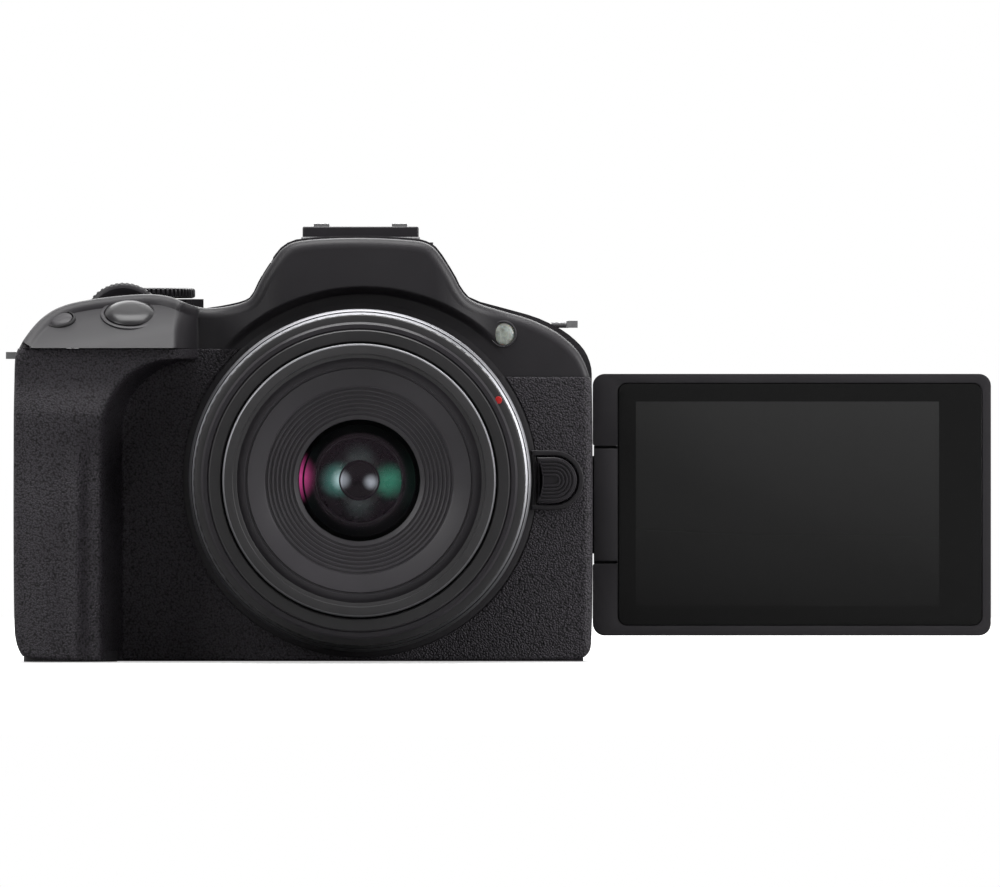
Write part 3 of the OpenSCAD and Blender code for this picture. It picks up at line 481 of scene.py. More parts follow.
def finish_piece(name, bm, body, materials, replaces=(), smooth_angle=35.0):
    mesh = bpy.data.meshes.new(name)
    bmesh.ops.scale(bm, vec=(MM, MM, MM), verts=bm.verts)
    bm.to_mesh(mesh)
    bm.free()
    for material in materials:
        mesh.materials.append(material)
    piece = bpy.data.objects.new(name, mesh)
    scene.collection.objects.link(piece)
    mesh.shade_smooth()
    mesh.set_sharp_from_angle(angle=math.radians(smooth_angle))
    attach(piece, body)
    if replaces:
        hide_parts(*replaces)
    print(name, len(mesh.polygons), "faces")
    return piece


def spin_profile(bm, profile, steps, centre, axis, closed):
    turn = axis.to_track_quat("Z", "Y").to_matrix().to_4x4()
    place = Matrix.Translation(centre) @ turn
    verts = [bm.verts.new(place @ Vector((radius, 0, along))) for radius, along in profile]
    pairs = list(zip(verts, verts[1:] + verts[:1])) if closed else list(zip(verts, verts[1:]))
    edges = [bm.edges.new(pair) for pair in pairs]
    bmesh.ops.spin(bm, geom=verts + edges, cent=centre, axis=axis, angle=math.tau, steps=steps,
                   use_merge=True)
    bmesh.ops.remove_doubles(bm, verts=bm.verts, dist=0.0005)
    bmesh.ops.recalc_face_normals(bm, faces=bm.faces)


def press_ribs(bm, centre, axis, count, depth, low, high, least, width=0.5, slant=0.0):
    side = axis.to_track_quat("Z", "Y") @ Vector((1, 0, 0))
    up = axis.cross(side)
    for vert in bm.verts:
        offset = vert.co - centre
        along = offset.dot(axis)
        flat = offset - axis * along
        if low <= along <= high and flat.length >= least:
            angle = math.atan2(flat.dot(up), flat.dot(side)) / math.tau
            phase = (angle * count + slant * (along - low)) % 1.0
            if phase > width:
                vert.co -= flat.normalized() * depth


def paint_faces(bm, index, test):
    for face in bm.faces:
        if test(face.calc_center_median()):
            face.material_index = index


def lens_radius(point):
    return math.hypot(point.x - LENS_AXIS.x, point.z - LENS_AXIS.z)


def turned_piece(name, profile, centre, axis, body, materials, replaces=(), steps=72, ribs=None,
                 closed=False, second=None, smooth_angle=35.0):
    bm = bmesh.new()
    spin_profile(bm, profile, steps, centre, axis, closed)
    if ribs:
        press_ribs(bm, centre, axis, *ribs)
    if second:
        paint_faces(bm, 1, second)
    finish_piece(name, bm, body, materials, replaces, smooth_angle)


def lens_ring(name, profile, steps, body, materials, replaces=(), ribs=None, second=None):
    turned_piece(name, profile, LENS_AXIS, FORWARD, body, materials, replaces, steps, ribs,
                 True, second)


print("turning tools ready")

# %% [markdown]
# The rear barrel is the widest ring of the lens. Its front edge carries two narrow bevelled bands with a
# groove between them, the double light line that frames the lens from the front; a bright satin metal on the
# bands paints their highlight. Inside it the sleeve runs forward and ends in a flat collar.

# %% Rear barrel and sleeve
def on_bright_band(p):
    return p.y < -29.95 and (lens_radius(p) > 33.97 or 33.3 < lens_radius(p) < 33.7)


barrel = [(31.6, 20.3), (33.6, 20.4), (34.5, 21.6), (34.5, 29.9), (34.42, 30.1), (34.0, 30.5),
          (33.95, 30.35), (33.82, 30.35), (33.78, 30.6), (33.35, 30.9), (33.25, 31.0), (32.4, 31.0),
          (32.4, 23.8), (31.6, 23.8)]
lens_ring("rear_barrel", barrel, 192, "lens", [lens_plastic, rim_highlight_metal], ["lens_barrel"],
          second=on_bright_band)
sleeve = [(28.3, 22.3), (32.3, 22.3), (32.3, 24.2), (29.5, 24.2), (29.5, 58.15), (30.1, 58.25), (30.15, 58.9),
          (29.95, 59.15), (27.95, 59.2), (27.75, 59.0), (27.75, 58.3), (28.3, 58.1)]
lens_ring("inner_sleeve", sleeve, 160, "lens", [lens_plastic])

# %% [markdown]
# The zoom ring is gripped by hand, so it carries long straight ribs. The control ring in front of it has a
# finer, slanted knurl, seen from the front as a row of small dots. A red dot marks where the lens is put on.

# %% Zoom ring and control ring
DOT_RADIUS = 32.15
DOT_TURN = math.pi / 6
zoom = [(29.7, 31.35), (32.9, 31.35), (33.2, 31.6), (33.2, 33.2), (32.75, 33.4), (32.75, 34.2), (33.35, 34.4),
        (33.35, 47.0), (33.2, 47.3), (32.7, 47.5), (32.7, 48.4), (33.15, 48.6), (33.2, 49.0), (33.05, 49.25),
        (31.9, 49.65), (29.7, 49.65)]
lens_ring("zoom_ring_ribbed", zoom, 720, "zoom_ring", [lens_plastic], ["zoom_ring"],
          (90, 0.45, 34.3, 47.2, 33.0, 0.62))
knurl = [(29.7, 50.35), (31.2, 50.35), (31.5, 50.6)]
knurl += [(31.75, 50.9 + 0.5 * step) for step in range(14)]
knurl += [(31.6, 57.6), (31.3, 57.95), (30.5, 58.0), (30.3, 57.8), (29.7, 57.8)]
lens_ring("control_ring_knurled", knurl, 540, "control_ring", [satin_plastic], ["control_ring"],
          (135, 0.3, 51.1, 57.2, 31.6, 0.5, 0.75))
dot_place = LENS_AXIS + DOT_RADIUS * Vector((math.cos(DOT_TURN), 0, math.sin(DOT_TURN)))
dot = [(0.02, 49.2), (0.72, 49.2), (0.78, 49.4), (0.7, 49.74), (0.02, 49.8)]
turned_piece("red_index_dot", dot, dot_place, FORWARD, "zoom_ring", [red_paint.material],
             steps=24)

# %% [markdown]
# The inner barrel slides out when the lens is zoomed. Its mouth is cut with a fine filter thread: a row of
# sharp V grooves, made here as a saw-tooth profile that is spun like the rest.

# %% Inner barrel with its filter thread
THREAD_ROOT, THREAD_DEPTH, HALF_PITCH = 24.55, 0.35, 0.3
thread = [(THREAD_ROOT + (THREAD_DEPTH if step % 2 else 0.0), 63.8 - HALF_PITCH * step) for step in range(11)]
mouth = [(25.6, 34.0), (28.2, 34.0), (28.2, 38.0), (27.4, 38.0), (27.4, 63.7), (27.25, 64.15), (27.0, 64.3)]
mouth += [(25.4, 64.25), (25.25, 63.95)] + thread + [(25.0, 60.3), (25.6, 60.2)]
# The lip at the barrel's mouth gets the bright metal as a painted highlight line.
lens_ring("threaded_barrel", mouth, 160, "inner_barrel", [lens_plastic, rim_highlight_metal], ["inner_barrel"],
          second=lambda p: -64.4 < p.y < -63.72 and lens_radius(p) > 26.9)

# %% [markdown]
# The front ring is a shallow funnel. Its outer band is smooth and bare, and its inner band falls towards the
# glass in seven small steps, which break up stray light.

# %% Front funnel
STEPS, STEP_IN, STEP_BACK = 7, 0.86, 0.26
funnel = [(25.5, 59.7), (24.4, 59.75), (24.1, 59.9), (23.0, 59.9), (22.9, 59.7), (22.5, 59.7), (22.4, 59.95),
          (19.2, 58.9)]
for step in range(STEPS):
    radius = 18.9 - STEP_IN * step
    station = 58.75 - STEP_BACK * step
    funnel += [(radius, station), (radius - 0.1, station - 0.34), (radius - 0.5, station - 0.42),
               (radius - 0.6, station - 0.16)]
funnel += [(12.6, 56.75), (12.25, 56.6), (12.15, 56.3), (12.15, 55.25), (12.3, 50.4), (13.0, 50.4),
           (16.4, 50.6), (16.5, 55.0), (20.0, 55.4), (25.5, 56.9)]
lens_ring("front_funnel", funnel, 192, "inner_barrel", [bezel_plastic, matt_black], ["front_bezel"],
          second=lambda p: lens_radius(p) < 12.4)

# %% [markdown]
# Behind the front glass lie a coated second element and the black cells that hold them. The coating and the
# cells carry painted reflections, the green and magenta glints that a photographer knows, and thin bright
# lines edge the cells.

# %% Glass elements
BOW_STEPS = 10
CELL_LINES = (3.85, 8.5, 11.1)


def bowed(outer, inner, rim, bulge):
    radii = [inner + (outer - inner) * step / BOW_STEPS for step in range(BOW_STEPS + 1)]
    return [(radius, rim + bulge * (1 - (radius / outer) ** 2)) for radius in radii]


def on_cell_line(p):
    return min(abs(lens_radius(p) - ring) for ring in CELL_LINES) < 0.14


front_bow = bowed(12.1, 0.01, 52.3, 3.0) + [(12.1, 51.4)] + bowed(12.1, 0.01, 51.4, 2.6)[::-1]
second_bow = bowed(8.2, 3.7, 48.2, 3.1) + [(8.2, 47.4), (3.7, 47.4)]
turned_piece("front_glass_element", front_bow, LENS_AXIS, FORWARD, "inner_barrel",
             [front_glass], ["front_element"], 128, closed=True, smooth_angle=60.0)
turned_piece("second_glass_element", second_bow, LENS_AXIS, FORWARD, "inner_barrel",
             [coated_glass], steps=128, closed=True, smooth_angle=60.0)
cells = [(12.1, 50.6), (11.3, 51.2), (11.1, 51.5), (10.9, 51.2), (8.9, 49.2), (8.6, 49.35), (8.4, 49.3),
         (8.2, 48.7), (8.2, 47.2), (3.9, 47.2), (4.0, 51.2), (3.85, 51.35), (3.7, 51.2), (3.3, 45.0),
         (0.02, 44.0), (0.02, 43.0), (12.1, 43.0)]
turned_piece("black_cells", cells, LENS_AXIS, FORWARD, "inner_barrel",
             [cell_black, dark_screw], steps=128, closed=True, second=on_cell_line)

# %% [markdown]
# The front of the body is one moulded shape: a flat face round the lens, a hump that stands out over it, and
# a hand grip with a sloping pod for the shutter button. A grid is wrapped round the lens, from the mount out
# to the body's outline, and each vertex takes its depth from a few smooth steps.

# %% Sizes of the body, from the frame
def node_box(node):
    low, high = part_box(node)
    return low / MM, high / MM


cover_low = node_box("front_cover")[0]
top_high = node_box("top_cover")[1]
LEFT, GRIP_FRONT = cover_low.x, cover_low.y
RIGHT, ROOF = top_high.x, top_high.z
DECK = ROOF - 11.8
FRONT, SEAM = -17.0, -8.0
FLOOR_SEAM, PLATE_TOP = 0.25, 2.1
LEATHER_LEFT, LEATHER_RIGHT = ROOF - 22.7, ROOF - 28.4
LEATHER_CUT = LEATHER_LEFT - 0.05
COLLAR_R, HUMP_R = 35.8, 38.3
RELEASE = Vector((39.1, 36.5))
POCKET_R, POCKET_DEPTH = 5.35, 0.9
print("body:", round(LEFT, 1), round(RIGHT, 1), round(ROOF, 1), "grip front:", round(GRIP_FRONT, 1))

# %% [markdown]
# The outline is the body's edge as the front view shows it, from the bottom left over the pod, the hump and
# the right shoulder. Cutting its corners three times makes it smooth, and it is then cut in even lengths.

# %% Outline of the body
EDGE_POINTS = [
    (LEFT + 2.7, 0), (LEFT + 0.6, 3), (LEFT, 8), (LEFT, DECK - 14), (LEFT + 0.8, DECK - 11),
    (LEFT + 2.8, DECK - 7.8), (LEFT + 5.4, DECK - 4.7), (LEFT + 9.2, DECK - 2.3), (LEFT + 15, DECK - 1),
    (LEFT + 24, DECK), (LEFT + 29, DECK), (LEFT + 32.4, DECK - 0.8), (LEFT + 37.8, DECK - 2.6),
    (-27, DECK - 2.2), (-23.6, DECK - 1.4), (-22, DECK - 0.5), (-20.2, ROOF - 8.4), (-17.7, ROOF - 4.5),
    (-15.5, ROOF - 1.8), (-12.1, ROOF - 0.5), (0, ROOF), (11.5, ROOF - 0.6), (13.9, ROOF - 1.3),
    (15.7, ROOF - 2.6), (19, ROOF - 7.7), (20.4, ROOF - 10.7), (22.4, ROOF - 12.9),
    (RIGHT - 17.2, ROOF - 14.8), (RIGHT - 11.7, ROOF - 16.3), (RIGHT - 7.9, ROOF - 18),
    (RIGHT - 5.3, ROOF - 19.5), (RIGHT - 2.8, ROOF - 21.6), (RIGHT - 1.2, ROOF - 23.6),
    (RIGHT, ROOF - 26.2), (RIGHT + 0.7, ROOF - 28.5), (RIGHT + 1.15, ROOF - 31), (RIGHT + 1.15, 4),
    (RIGHT + 0.3, 1.2), (RIGHT - 2.4, 0)]
CORNER_CUTS = 3
COLUMNS = 900


def smooth_loop(points, rounds):
    loop = [Vector((x, z)) for x, z in points]
    for _ in range(rounds):
        pairs = list(zip(loop, loop[1:] + loop[:1]))
        loop = [point for a, b in pairs for point in (a.lerp(b, 0.25), a.lerp(b, 0.75))]
    return loop


def evenly(loop, count):
    ends = loop[1:] + loop[:1]
    lengths = [(b - a).length for a, b in zip(loop, ends)]
    step = sum(lengths) / count
    even, run, index = [], 0.0, 0
    for number in range(count):
        while run + lengths[index] < number * step - 1e-9:
            run += lengths[index]
            index += 1
        share = (number * step - run) / lengths[index]
        even.append(loop[index].lerp(ends[index], share))
    return even


def smooth_step(value):
    value = min(1.0, max(0.0, value))
    return value * value * (3 - 2 * value)


outline = evenly(smooth_loop(EDGE_POINTS, CORNER_CUTS), COLUMNS)
print("outline points:", len(outline))

# %% [markdown]
# How far the face stands out at a place is a sum of smooth steps. The grip is a plateau with two soft ridges
# and a groove for the fingers, and its inner edge bends to the right under the pod. The pod slopes back to
# the deck. The grip's outer flank is rounded off, and the release button lies in a shallow pocket.

# %% Depth of the front face
GRIP_DEPTH = FRONT - GRIP_FRONT
BEND_START, BEND_HEIGHT, BEND_REACH = 46.5, 14.5, 15.0
SLOPE = math.tan(math.radians(60))
POD_LEAN = 0.9
FLANK_WIDTH, FLANK_DROP = 8, 6.5
HUMP_DEPTH = 5.0
GRIP_END, POCKET_START = -30, 34


def grip_shift(z):
    rise = min(1.0, max(0.0, (z - BEND_START) / BEND_HEIGHT))
    return BEND_REACH * (1 - math.sqrt(1 - rise * rise))


def grip_height(x, z):
    along = x - grip_shift(z)
    plateau = 1 - smooth_step((along + 52.4) / 4.8)
    ridge = 0.5 * math.exp(-((along + 47.4) / 0.8) ** 2) * smooth_step((52 - z) / 8)
    ridge += 0.7 * math.exp(-((along + 56.6) / 1.3) ** 2) * smooth_step((48 - z) / 14)
    ridge -= 0.9 * smooth_step((along + 58) / 4) * smooth_step((50 - z) / 10) * plateau
    groove = 2.6 * smooth_step((z - 49) / 9) * (z < LEATHER_LEFT) * plateau
    waist = 0.9 * math.exp(-((z - 40) / 7) ** 2) * plateau
    lean = POD_LEAN * max(0.0, z - LEATHER_LEFT) * plateau
    return GRIP_DEPTH * plateau + ridge - groove - waist - lean


def flank_drop(x, z):
    inward = min(0.95 * FLANK_WIDTH, max(0.0, LEFT + FLANK_WIDTH - x))
    return FLANK_DROP * (1 - math.sqrt(1 - (inward / FLANK_WIDTH) ** 2)) * smooth_step((62 - z) / 6)


def pod_slope(x, z):
    rise = 0.1 + 5.0 * (x - LEFT - 1) / 28.2
    return GRIP_DEPTH - POD_LEAN * rise - SLOPE * (z - LEATHER_LEFT - rise)


def soft_min(a, b, blend):
    share = min(1.0, max(0.0, 0.5 + 0.5 * (b - a) / blend))
    return b + (a - b) * share - blend * share * (1 - share)


def hump_height(x, z):
    radius = math.hypot(x - 0.8, z - LENS_AXIS.z)
    width = 1 - smooth_step((abs(x) - 15) / 15)
    side = smooth_step((z - 52) / 10)
    return HUMP_DEPTH * width * side * smooth_step((radius - HUMP_R + 0.9) / 1.8)


def front_height(x, z):
    height = hump_height(x, z)
    if x < GRIP_END:
        grip = soft_min(grip_height(x, z), max(pod_slope(x, z), 0.0), 2.2)
        height = max(height, grip) - flank_drop(x, z)
    if x > POCKET_START and math.hypot(max(0.0, x - RELEASE.x), z - RELEASE.y) < POCKET_R:
        height = -POCKET_DEPTH
    return height


print("height at the grip:", round(front_height(-62, 30), 2))

# %% [markdown]
# Each column of the grid runs from the mount outwards, over the front face, round the edge and back to the
# seam with the rear half. Round the hump the edge is a little wider, and along the base plate it stands
# straight down. The grid is then cut level at the leather's upper edges and parted into shell and leather.

# %% Front shell grid
COLLAR_ROWS = [(31.35, 1.0), (31.35, -2.2), (32.9, -2.3), (33.2, -2.0), (33.3, -0.5), (33.6, -0.2),
               (35.3, -0.2), (COLLAR_R - 0.1, 0.0)]
FACE_ROWS, EDGE_ROWS, SIDE_ROWS = 84, 9, 12


def column_frame(index):
    before, here = outline[index - 1], outline[index]
    after = outline[(index + 1) % COLUMNS]
    run = (after - before).normalized()
    outward = Vector((-run.y, run.x))
    pod = 1 - smooth_step((here.x + 38) / 4)
    rim = smooth_step((here.y - 58) / 8)
    edge = here - outward * (0.12 + 0.2 * rim) * (1 - pod)
    radius = 1.6 + 0.5 * rim
    if edge.y < FLOOR_SEAM:
        edge = Vector((edge.x, FLOOR_SEAM))
    foot = smooth_step((edge.y - FLOOR_SEAM) / 5)
    outward = Vector((outward.x * (0.3 + 0.7 * foot), outward.y))
    radius = 0.5 + (radius - 0.5) * foot
    return edge, outward.normalized(), radius


def shell_point(edge, outward, radius, row):
    centre = Vector((0, LENS_AXIS.z))
    away = (edge - centre).normalized()
    if row < len(COLLAR_ROWS):
        ring, height = COLLAR_ROWS[row]
        place = centre + away * ring
        return Vector((place.x, FRONT + height, place.y))
    row -= len(COLLAR_ROWS)
    start, end = centre + away * COLLAR_R, edge - outward * radius
    if row < FACE_ROWS:
        place = start.lerp(end, row / FACE_ROWS)
        return Vector((place.x, FRONT - front_height(place.x, place.y), place.y))
    crown = FRONT - front_height(end.x, end.y)
    row -= FACE_ROWS
    if row <= EDGE_ROWS:
        turn = 0.5 * math.pi * row / EDGE_ROWS
        place = end + outward * radius * math.sin(turn)
        return Vector((place.x, crown + radius * (1 - math.cos(turn)), place.y))
    share = (row - EDGE_ROWS) / SIDE_ROWS
    seam = SEAM if edge.y > PLATE_TOP else crown + radius + 0.3
    if share > 1:
        place = edge - outward * (1.2 if edge.y > PLATE_TOP else 0.1)
        return Vector((place.x, seam, place.y))
    return Vector((edge.x, (crown + radius) * (1 - share) + seam * share, edge.y))


def wrapped_shell():
    rows = len(COLLAR_ROWS) + FACE_ROWS + EDGE_ROWS + SIDE_ROWS + 2
    bm = bmesh.new()
    bmesh.ops.create_grid(bm, x_segments=COLUMNS, y_segments=rows - 1, size=1.0)
    frames = [column_frame(index) for index in range(COLUMNS)]
    for vert in bm.verts:
        column = round((vert.co.x + 1) / 2 * COLUMNS) % COLUMNS
        row = round((vert.co.y + 1) / 2 * (rows - 1))
        vert.co = shell_point(*frames[column], row)
    bmesh.ops.remove_doubles(bm, verts=bm.verts, dist=0.001)
    bmesh.ops.recalc_face_normals(bm, faces=bm.faces)
    return bm


def cut_level(bm, side, level, settle=False):
    near = [face for face in bm.faces if face.calc_center_median().x * side > 0]
    edges = {edge for face in near for edge in face.edges}
    verts = {vert for face in near for vert in face.verts}
    cut = bmesh.ops.bisect_plane(bm, geom=near + list(edges) + list(verts), dist=0.0001,
                                 plane_co=(0, 0, level), plane_no=(0, 0, 1))["geom_cut"]
    for vert in [item for item in cut if settle and isinstance(item, bmesh.types.BMVert)]:
        if LEFT + 1.8 < vert.co.x < GRIP_END and vert.co.y < FRONT + 0.5:
            vert.co.y = FRONT - front_height(vert.co.x, vert.co.z)


def is_leather(point):
    level = LEATHER_CUT if point.x < 0 else LEATHER_RIGHT
    return point.z < level and lens_radius(point) > COLLAR_R - 0.02


def part_of_shell(shell, leather, lift):
    bm = shell.copy()
    spare = [face for face in bm.faces if is_leather(face.calc_center_median()) != leather]
    bmesh.ops.delete(bm, geom=spare, context="FACES")
    bm.normal_update()
    rim = {vert for edge in bm.edges if edge.is_boundary for vert in edge.verts}
    moves = [(vert, vert.normal * (lift[0] if vert in rim else lift[1])) for vert in bm.verts]
    for vert, move in moves:
        vert.co += move
    return bm


shell = wrapped_shell()
cut_level(shell, -1, LEATHER_LEFT + 0.02, settle=True)
cut_level(shell, -1, LEATHER_CUT, settle=True)
cut_level(shell, 1, LEATHER_RIGHT)
finish_piece("front_shell", part_of_shell(shell, False, (-0.04, 0.0)), "camera",
             [body_plastic], ["front_cover"], 40.0)
finish_piece("leather_wrap", part_of_shell(shell, True, (-0.08, 0.16)), "camera",
             [leather_skin], ["front_leatherette"], 60.0)
shell.free()

# %% [markdown]
# Pieces that keep their CAD shape get what a real moulding or stamping has: a small round on every sharp
# edge. The copy's triangles are merged to whole faces first, so that only true edges are rounded. Normals
# weighted by face size then keep the large faces flat. The base plate's ends are drawn in to follow the
# body's outline.

# %% Softened CAD pieces
SOFT_ANGLE = 34.0
PLATE_LEFT, PLATE_RIGHT = LEFT + 1.9, RIGHT - 0.7


def round_edges(bm, edges, width, segments):
    bmesh.ops.bevel(bm, geom=edges, offset=width, offset_type="OFFSET", affect="EDGES", segments=segments,
                    profile=0.5, material=-1, clamp_overlap=True)


def softened_mesh(node, width, least_angle=28.0, segments=3):
    bm = bmesh.new()
    bm.from_mesh(frame["nodes"][node].data)
    bmesh.ops.scale(bm, vec=(1 / MM, 1 / MM, 1 / MM), verts=bm.verts)
    bmesh.ops.remove_doubles(bm, verts=bm.verts, dist=0.002)
    bmesh.ops.dissolve_limit(bm, angle_limit=math.radians(1.5), verts=bm.verts, edges=bm.edges)
    sharp = [edge for edge in bm.edges
             if len(edge.link_faces) == 2 and edge.calc_face_angle() > math.radians(least_angle)]
    round_edges(bm, sharp, width, segments)
    return bm


def soften(node, width, body, material):
    bm = softened_mesh(node, width)
    piece = finish_piece("soft_" + node, bm, body, [material], [node], SOFT_ANGLE)
    even = piece.modifiers.new("even_faces", "WEIGHTED_NORMAL")
    even.keep_sharp = True


CAMERA_PIECES = [
    ("top_cover", 0.7, "body_plastic", deck_plastic),
    ("rear_cover", 0.5, "body_plastic", body_plastic),
    ("shoe_base", 0.35, "dial_plastic", satin_plastic),
    ("shoe_rails", 0.15, "bright_steel", shoe_steel),
    ("strap_lugs", 0.25, "bright_steel", bare_alloy),
    ("viewfinder_housing", 0.4, "shutter_black", body_plastic),
    ("hinge_bracket", 0.2, "bare_metal", dark_screw),
    ("eyecup", 0.5, "rubber", rubber),
    ("mount_ring", 0.15, "bright_steel", shoe_steel)]
for node, width, slot, material in CAMERA_PIECES:
    soften(node, width, "camera", material)
bm = softened_mesh("base_plate", 0.8)
for vert in bm.verts:
    vert.co.x = min(max(vert.co.x, PLATE_LEFT), PLATE_RIGHT)
finish_piece("soft_base_plate", bm, "camera", [body_plastic], ["base_plate"], SOFT_ANGLE)
soften("flash_head", 0.25, "flash", deck_plastic)
soften("battery_door", 0.2, "battery_door", body_plastic)
soften("port_cover", 0.3, "port_cover", rubber)
soften("terminal_cover", 0.3, "terminal_cover", rubber)
print("softened pieces ready")

# %% [markdown]
# The rest of the camera's CAD pieces, most of them inside the body, are shown as they are. They only get a
# finish of their own, put on the object so that the CAD's mesh stays untouched.

# %% Finishes of the CAD pieces that stay
DRESSED = {
    bare_alloy: ("chassis", "terminal_sockets"), shoe_steel: ("tripod_socket", "lock_pin", "lens_bayonet"),
    gold: ("body_contacts",), sensor_glass: ("image_sensor",), matt_black: ("shutter_unit", "battery_case"),
    board_green: ("main_board",), battery_grey: ("battery",), card_plastic: ("memory_card",),
    dial_plastic: ("door_latch", "diopter_dial", "power_lever"), satin_plastic: ("cross_key", "set_button"),
    finder_glass: ("eyepiece_lens",), flash_lens: ("flash_window",), dark_screw: ("case_screws",),
    dark_panel: ("lcd_panel",), coated_glass: ("rear_element",)}
for material, nodes in DRESSED.items():
    for node in nodes:
        for place in frame["nodes"][node].material_slots:
            place.link = "OBJECT"
            place.material = material
print("dressed:", sum(len(nodes) for nodes in DRESSED.values()), "CAD pieces")

# %% [markdown]
# Buttons and dials are turned too, each round its own axis. A well ring of dark plastic surrounds the two
# buttons on the sloping pod. The dials get a knurl of small teeth.

# %% Buttons and dials
UP = Vector((0, 0, 1))
BACK = Vector((0, 1, 0))
POD_UP = Vector((0, -math.sin(math.radians(30)), math.cos(math.radians(30))))
ISO_UP = Vector((-0.17, -0.5, 0.85)).normalized()


def node_centre(node):
    low, high = node_box(node)
    return (low + high) / 2


DOME_SHARES = (0.985, 0.95, 0.88, 0.78, 0.62, 0.42, 0.2)


def dome(radius, height, base, edge, rise):
    crown = [(radius * share, height - edge + (edge + rise) * (1 - share ** 4)) for share in DOME_SHARES]
    return [(0.01, base), (radius, base), (radius, height - edge)] + crown + [(0.01, height + rise)]


SHUTTER = Vector((LEFT + 23.3, GRIP_FRONT + 9.0, DECK - 4.1))
turned_piece("shutter_dome", dome(5.05, 1.15, -2.0, 0.7, 0.35), SHUTTER, POD_UP, "shutter_button",
             [gloss_button], ["shutter_button"], 96)
shutter_rim = [(5.2, -1.0), (5.2, 0.1), (5.35, 0.3), (5.7, 0.34), (6.0, 0.2), (6.15, -1.0)]
turned_piece("shutter_well", shutter_rim, SHUTTER, POD_UP, "camera", [deck_plastic], steps=96)
turned_piece("shutter_pit", [(0.01, -0.55), (5.3, -0.55), (5.4, -1.2), (0.01, -1.2)], SHUTTER, POD_UP,
             "camera", [matt_black])

ISO = Vector((LEFT + 9.2, GRIP_FRONT + 8.5, DECK - 5.2))
turned_piece("iso_dome", dome(2.45, 0.5, -1.5, 0.3, 0.12), ISO, ISO_UP, "iso_button",
             [deck_plastic], ["iso_button"])
iso_rim = [(2.63, -1.5), (2.63, 0.12), (2.75, 0.3), (2.95, 0.3), (3.1, 0.1), (3.15, -1.5)]
turned_piece("iso_well", iso_rim, ISO, ISO_UP, "camera", [matt_black])

MAIN = Vector((LEFT + 21.7, 0, DECK - 5.8))
wheel = [(0.01, 8.7), (7.5, 8.7), (8.1, 9.1), (8.2, 9.4), (8.2, 10.6), (8.2, 11.9), (8.2, 13.2), (8.2, 14.1),
         (8.0, 14.5), (7.6, 14.8), (7.1, 14.95), (6.7, 14.75), (6.2, 14.3), (5.6, 14.15), (0.01, 14.1)]
turned_piece("main_dial_knurled", wheel, MAIN, FORWARD, "main_dial", [dial_plastic],
             ["main_dial"], 384, (48, 0.42, 9.2, 14.2, 7.9))

MODE = Vector((LEFT + 27.5, 4.6, 0))
disc = [(0.01, 73.3), (7.9, 73.3), (8.4, 73.5), (8.5, 73.7), (8.5, 74.3), (8.5, 74.9), (8.3, 75.2),
        (7.9, 75.38), (7.3, 75.4), (7.1, 75.3), (6.9, 75.2), (0.01, 75.2)]
turned_piece("mode_dial_knurled", disc, MODE, UP, "mode_dial", [dial_plastic], ["mode_dial"],
             384, (56, 0.35, 73.6, 75.0, 8.2))

MOVIE = node_centre("movie_button")
MOVIE.z = node_box("movie_button")[1].z
turned_piece("movie_dome", dome(1.95, 0.0, -1.5, 0.3, 0.0), MOVIE, UP, "movie_button",
             [red_paint.material], ["movie_button"])

LAMP = Vector((RIGHT - 16.9, 0, ROOF - 19.8))
turned_piece("lamp_dome", dome(2.3, 17.3, 15.5, 0.3, 0.25), LAMP, FORWARD, "camera",
             [lamp_lens], ["focus_lamp"])
lamp_edge = [(2.32, 16.5), (2.35, 17.25), (2.5, 17.35), (2.7, 17.25), (2.85, 16.9)]
turned_piece("lamp_rim", lamp_edge, LAMP, FORWARD, "camera", [deck_plastic])

for node in ("lock_button", "focus_point_button", "info_button", "playback_button", "menu_button"):
    low, high = node_box(node)
    place = Vector(((low.x + high.x) / 2, high.y, (low.z + high.z) / 2))
    turned_piece(node + "_dome", dome((high.x - low.x) / 2, 0.0, -1.6, 0.3, 0.0), place, BACK, node,
                 [satin_plastic], [node])
print("buttons ready")

# %% [markdown]
# Flat housings start from an outline with rounded corners. The outline is raised to a slab, or two outlines
# to a ring, and the edges of its two faces get a small round.

# %% Slabs
def rounded_outline(corners, radii, steps=7):
    points = []
    for index, corner in enumerate(corners):
        here, radius = Vector(corner), radii[index]
        before = (Vector(corners[index - 1]) - here).normalized()
        after = (Vector(corners[(index + 1) % len(corners)]) - here).normalized()
        if radius <= 0:
            points.append(here)
            continue
        half = 0.5 * before.angle(after)
        centre = here + (before + after).normalized() * radius / math.sin(half)
        start = here + before * radius / math.tan(half) - centre
        end = here + after * radius / math.tan(half) - centre
        first = math.atan2(start.y, start.x)
        sweep = (math.atan2(end.y, end.x) - first + math.pi) % math.tau - math.pi
        turns = [first + sweep * step / steps for step in range(steps + 1)]
        points += [centre + radius * Vector((math.cos(turn), math.sin(turn))) for turn in turns]
    return points


def box_corners(low, high):
    return [(low.x, low.z), (high.x, low.z), (high.x, high.z), (low.x, high.z)]


def thicken(bm, flat, low, high, edge, segments):
    raised = bmesh.ops.extrude_face_region(flat, geom=flat.faces[:])["geom"]
    front = [item for item in raised if isinstance(item, bmesh.types.BMVert)]
    bmesh.ops.translate(flat, vec=(0, low - high, 0), verts=front)
    bmesh.ops.recalc_face_normals(flat, faces=flat.faces)
    rims = [item for item in flat.edges if item.calc_face_angle(0) > math.radians(40)
            and abs(item.verts[0].co.y - item.verts[1].co.y) < 0.01]
    round_edges(flat, rims, edge, segments)
    mesh = bpy.data.meshes.new("part")
    flat.to_mesh(mesh)
    flat.free()
    bm.from_mesh(mesh)
    bpy.data.meshes.remove(mesh)


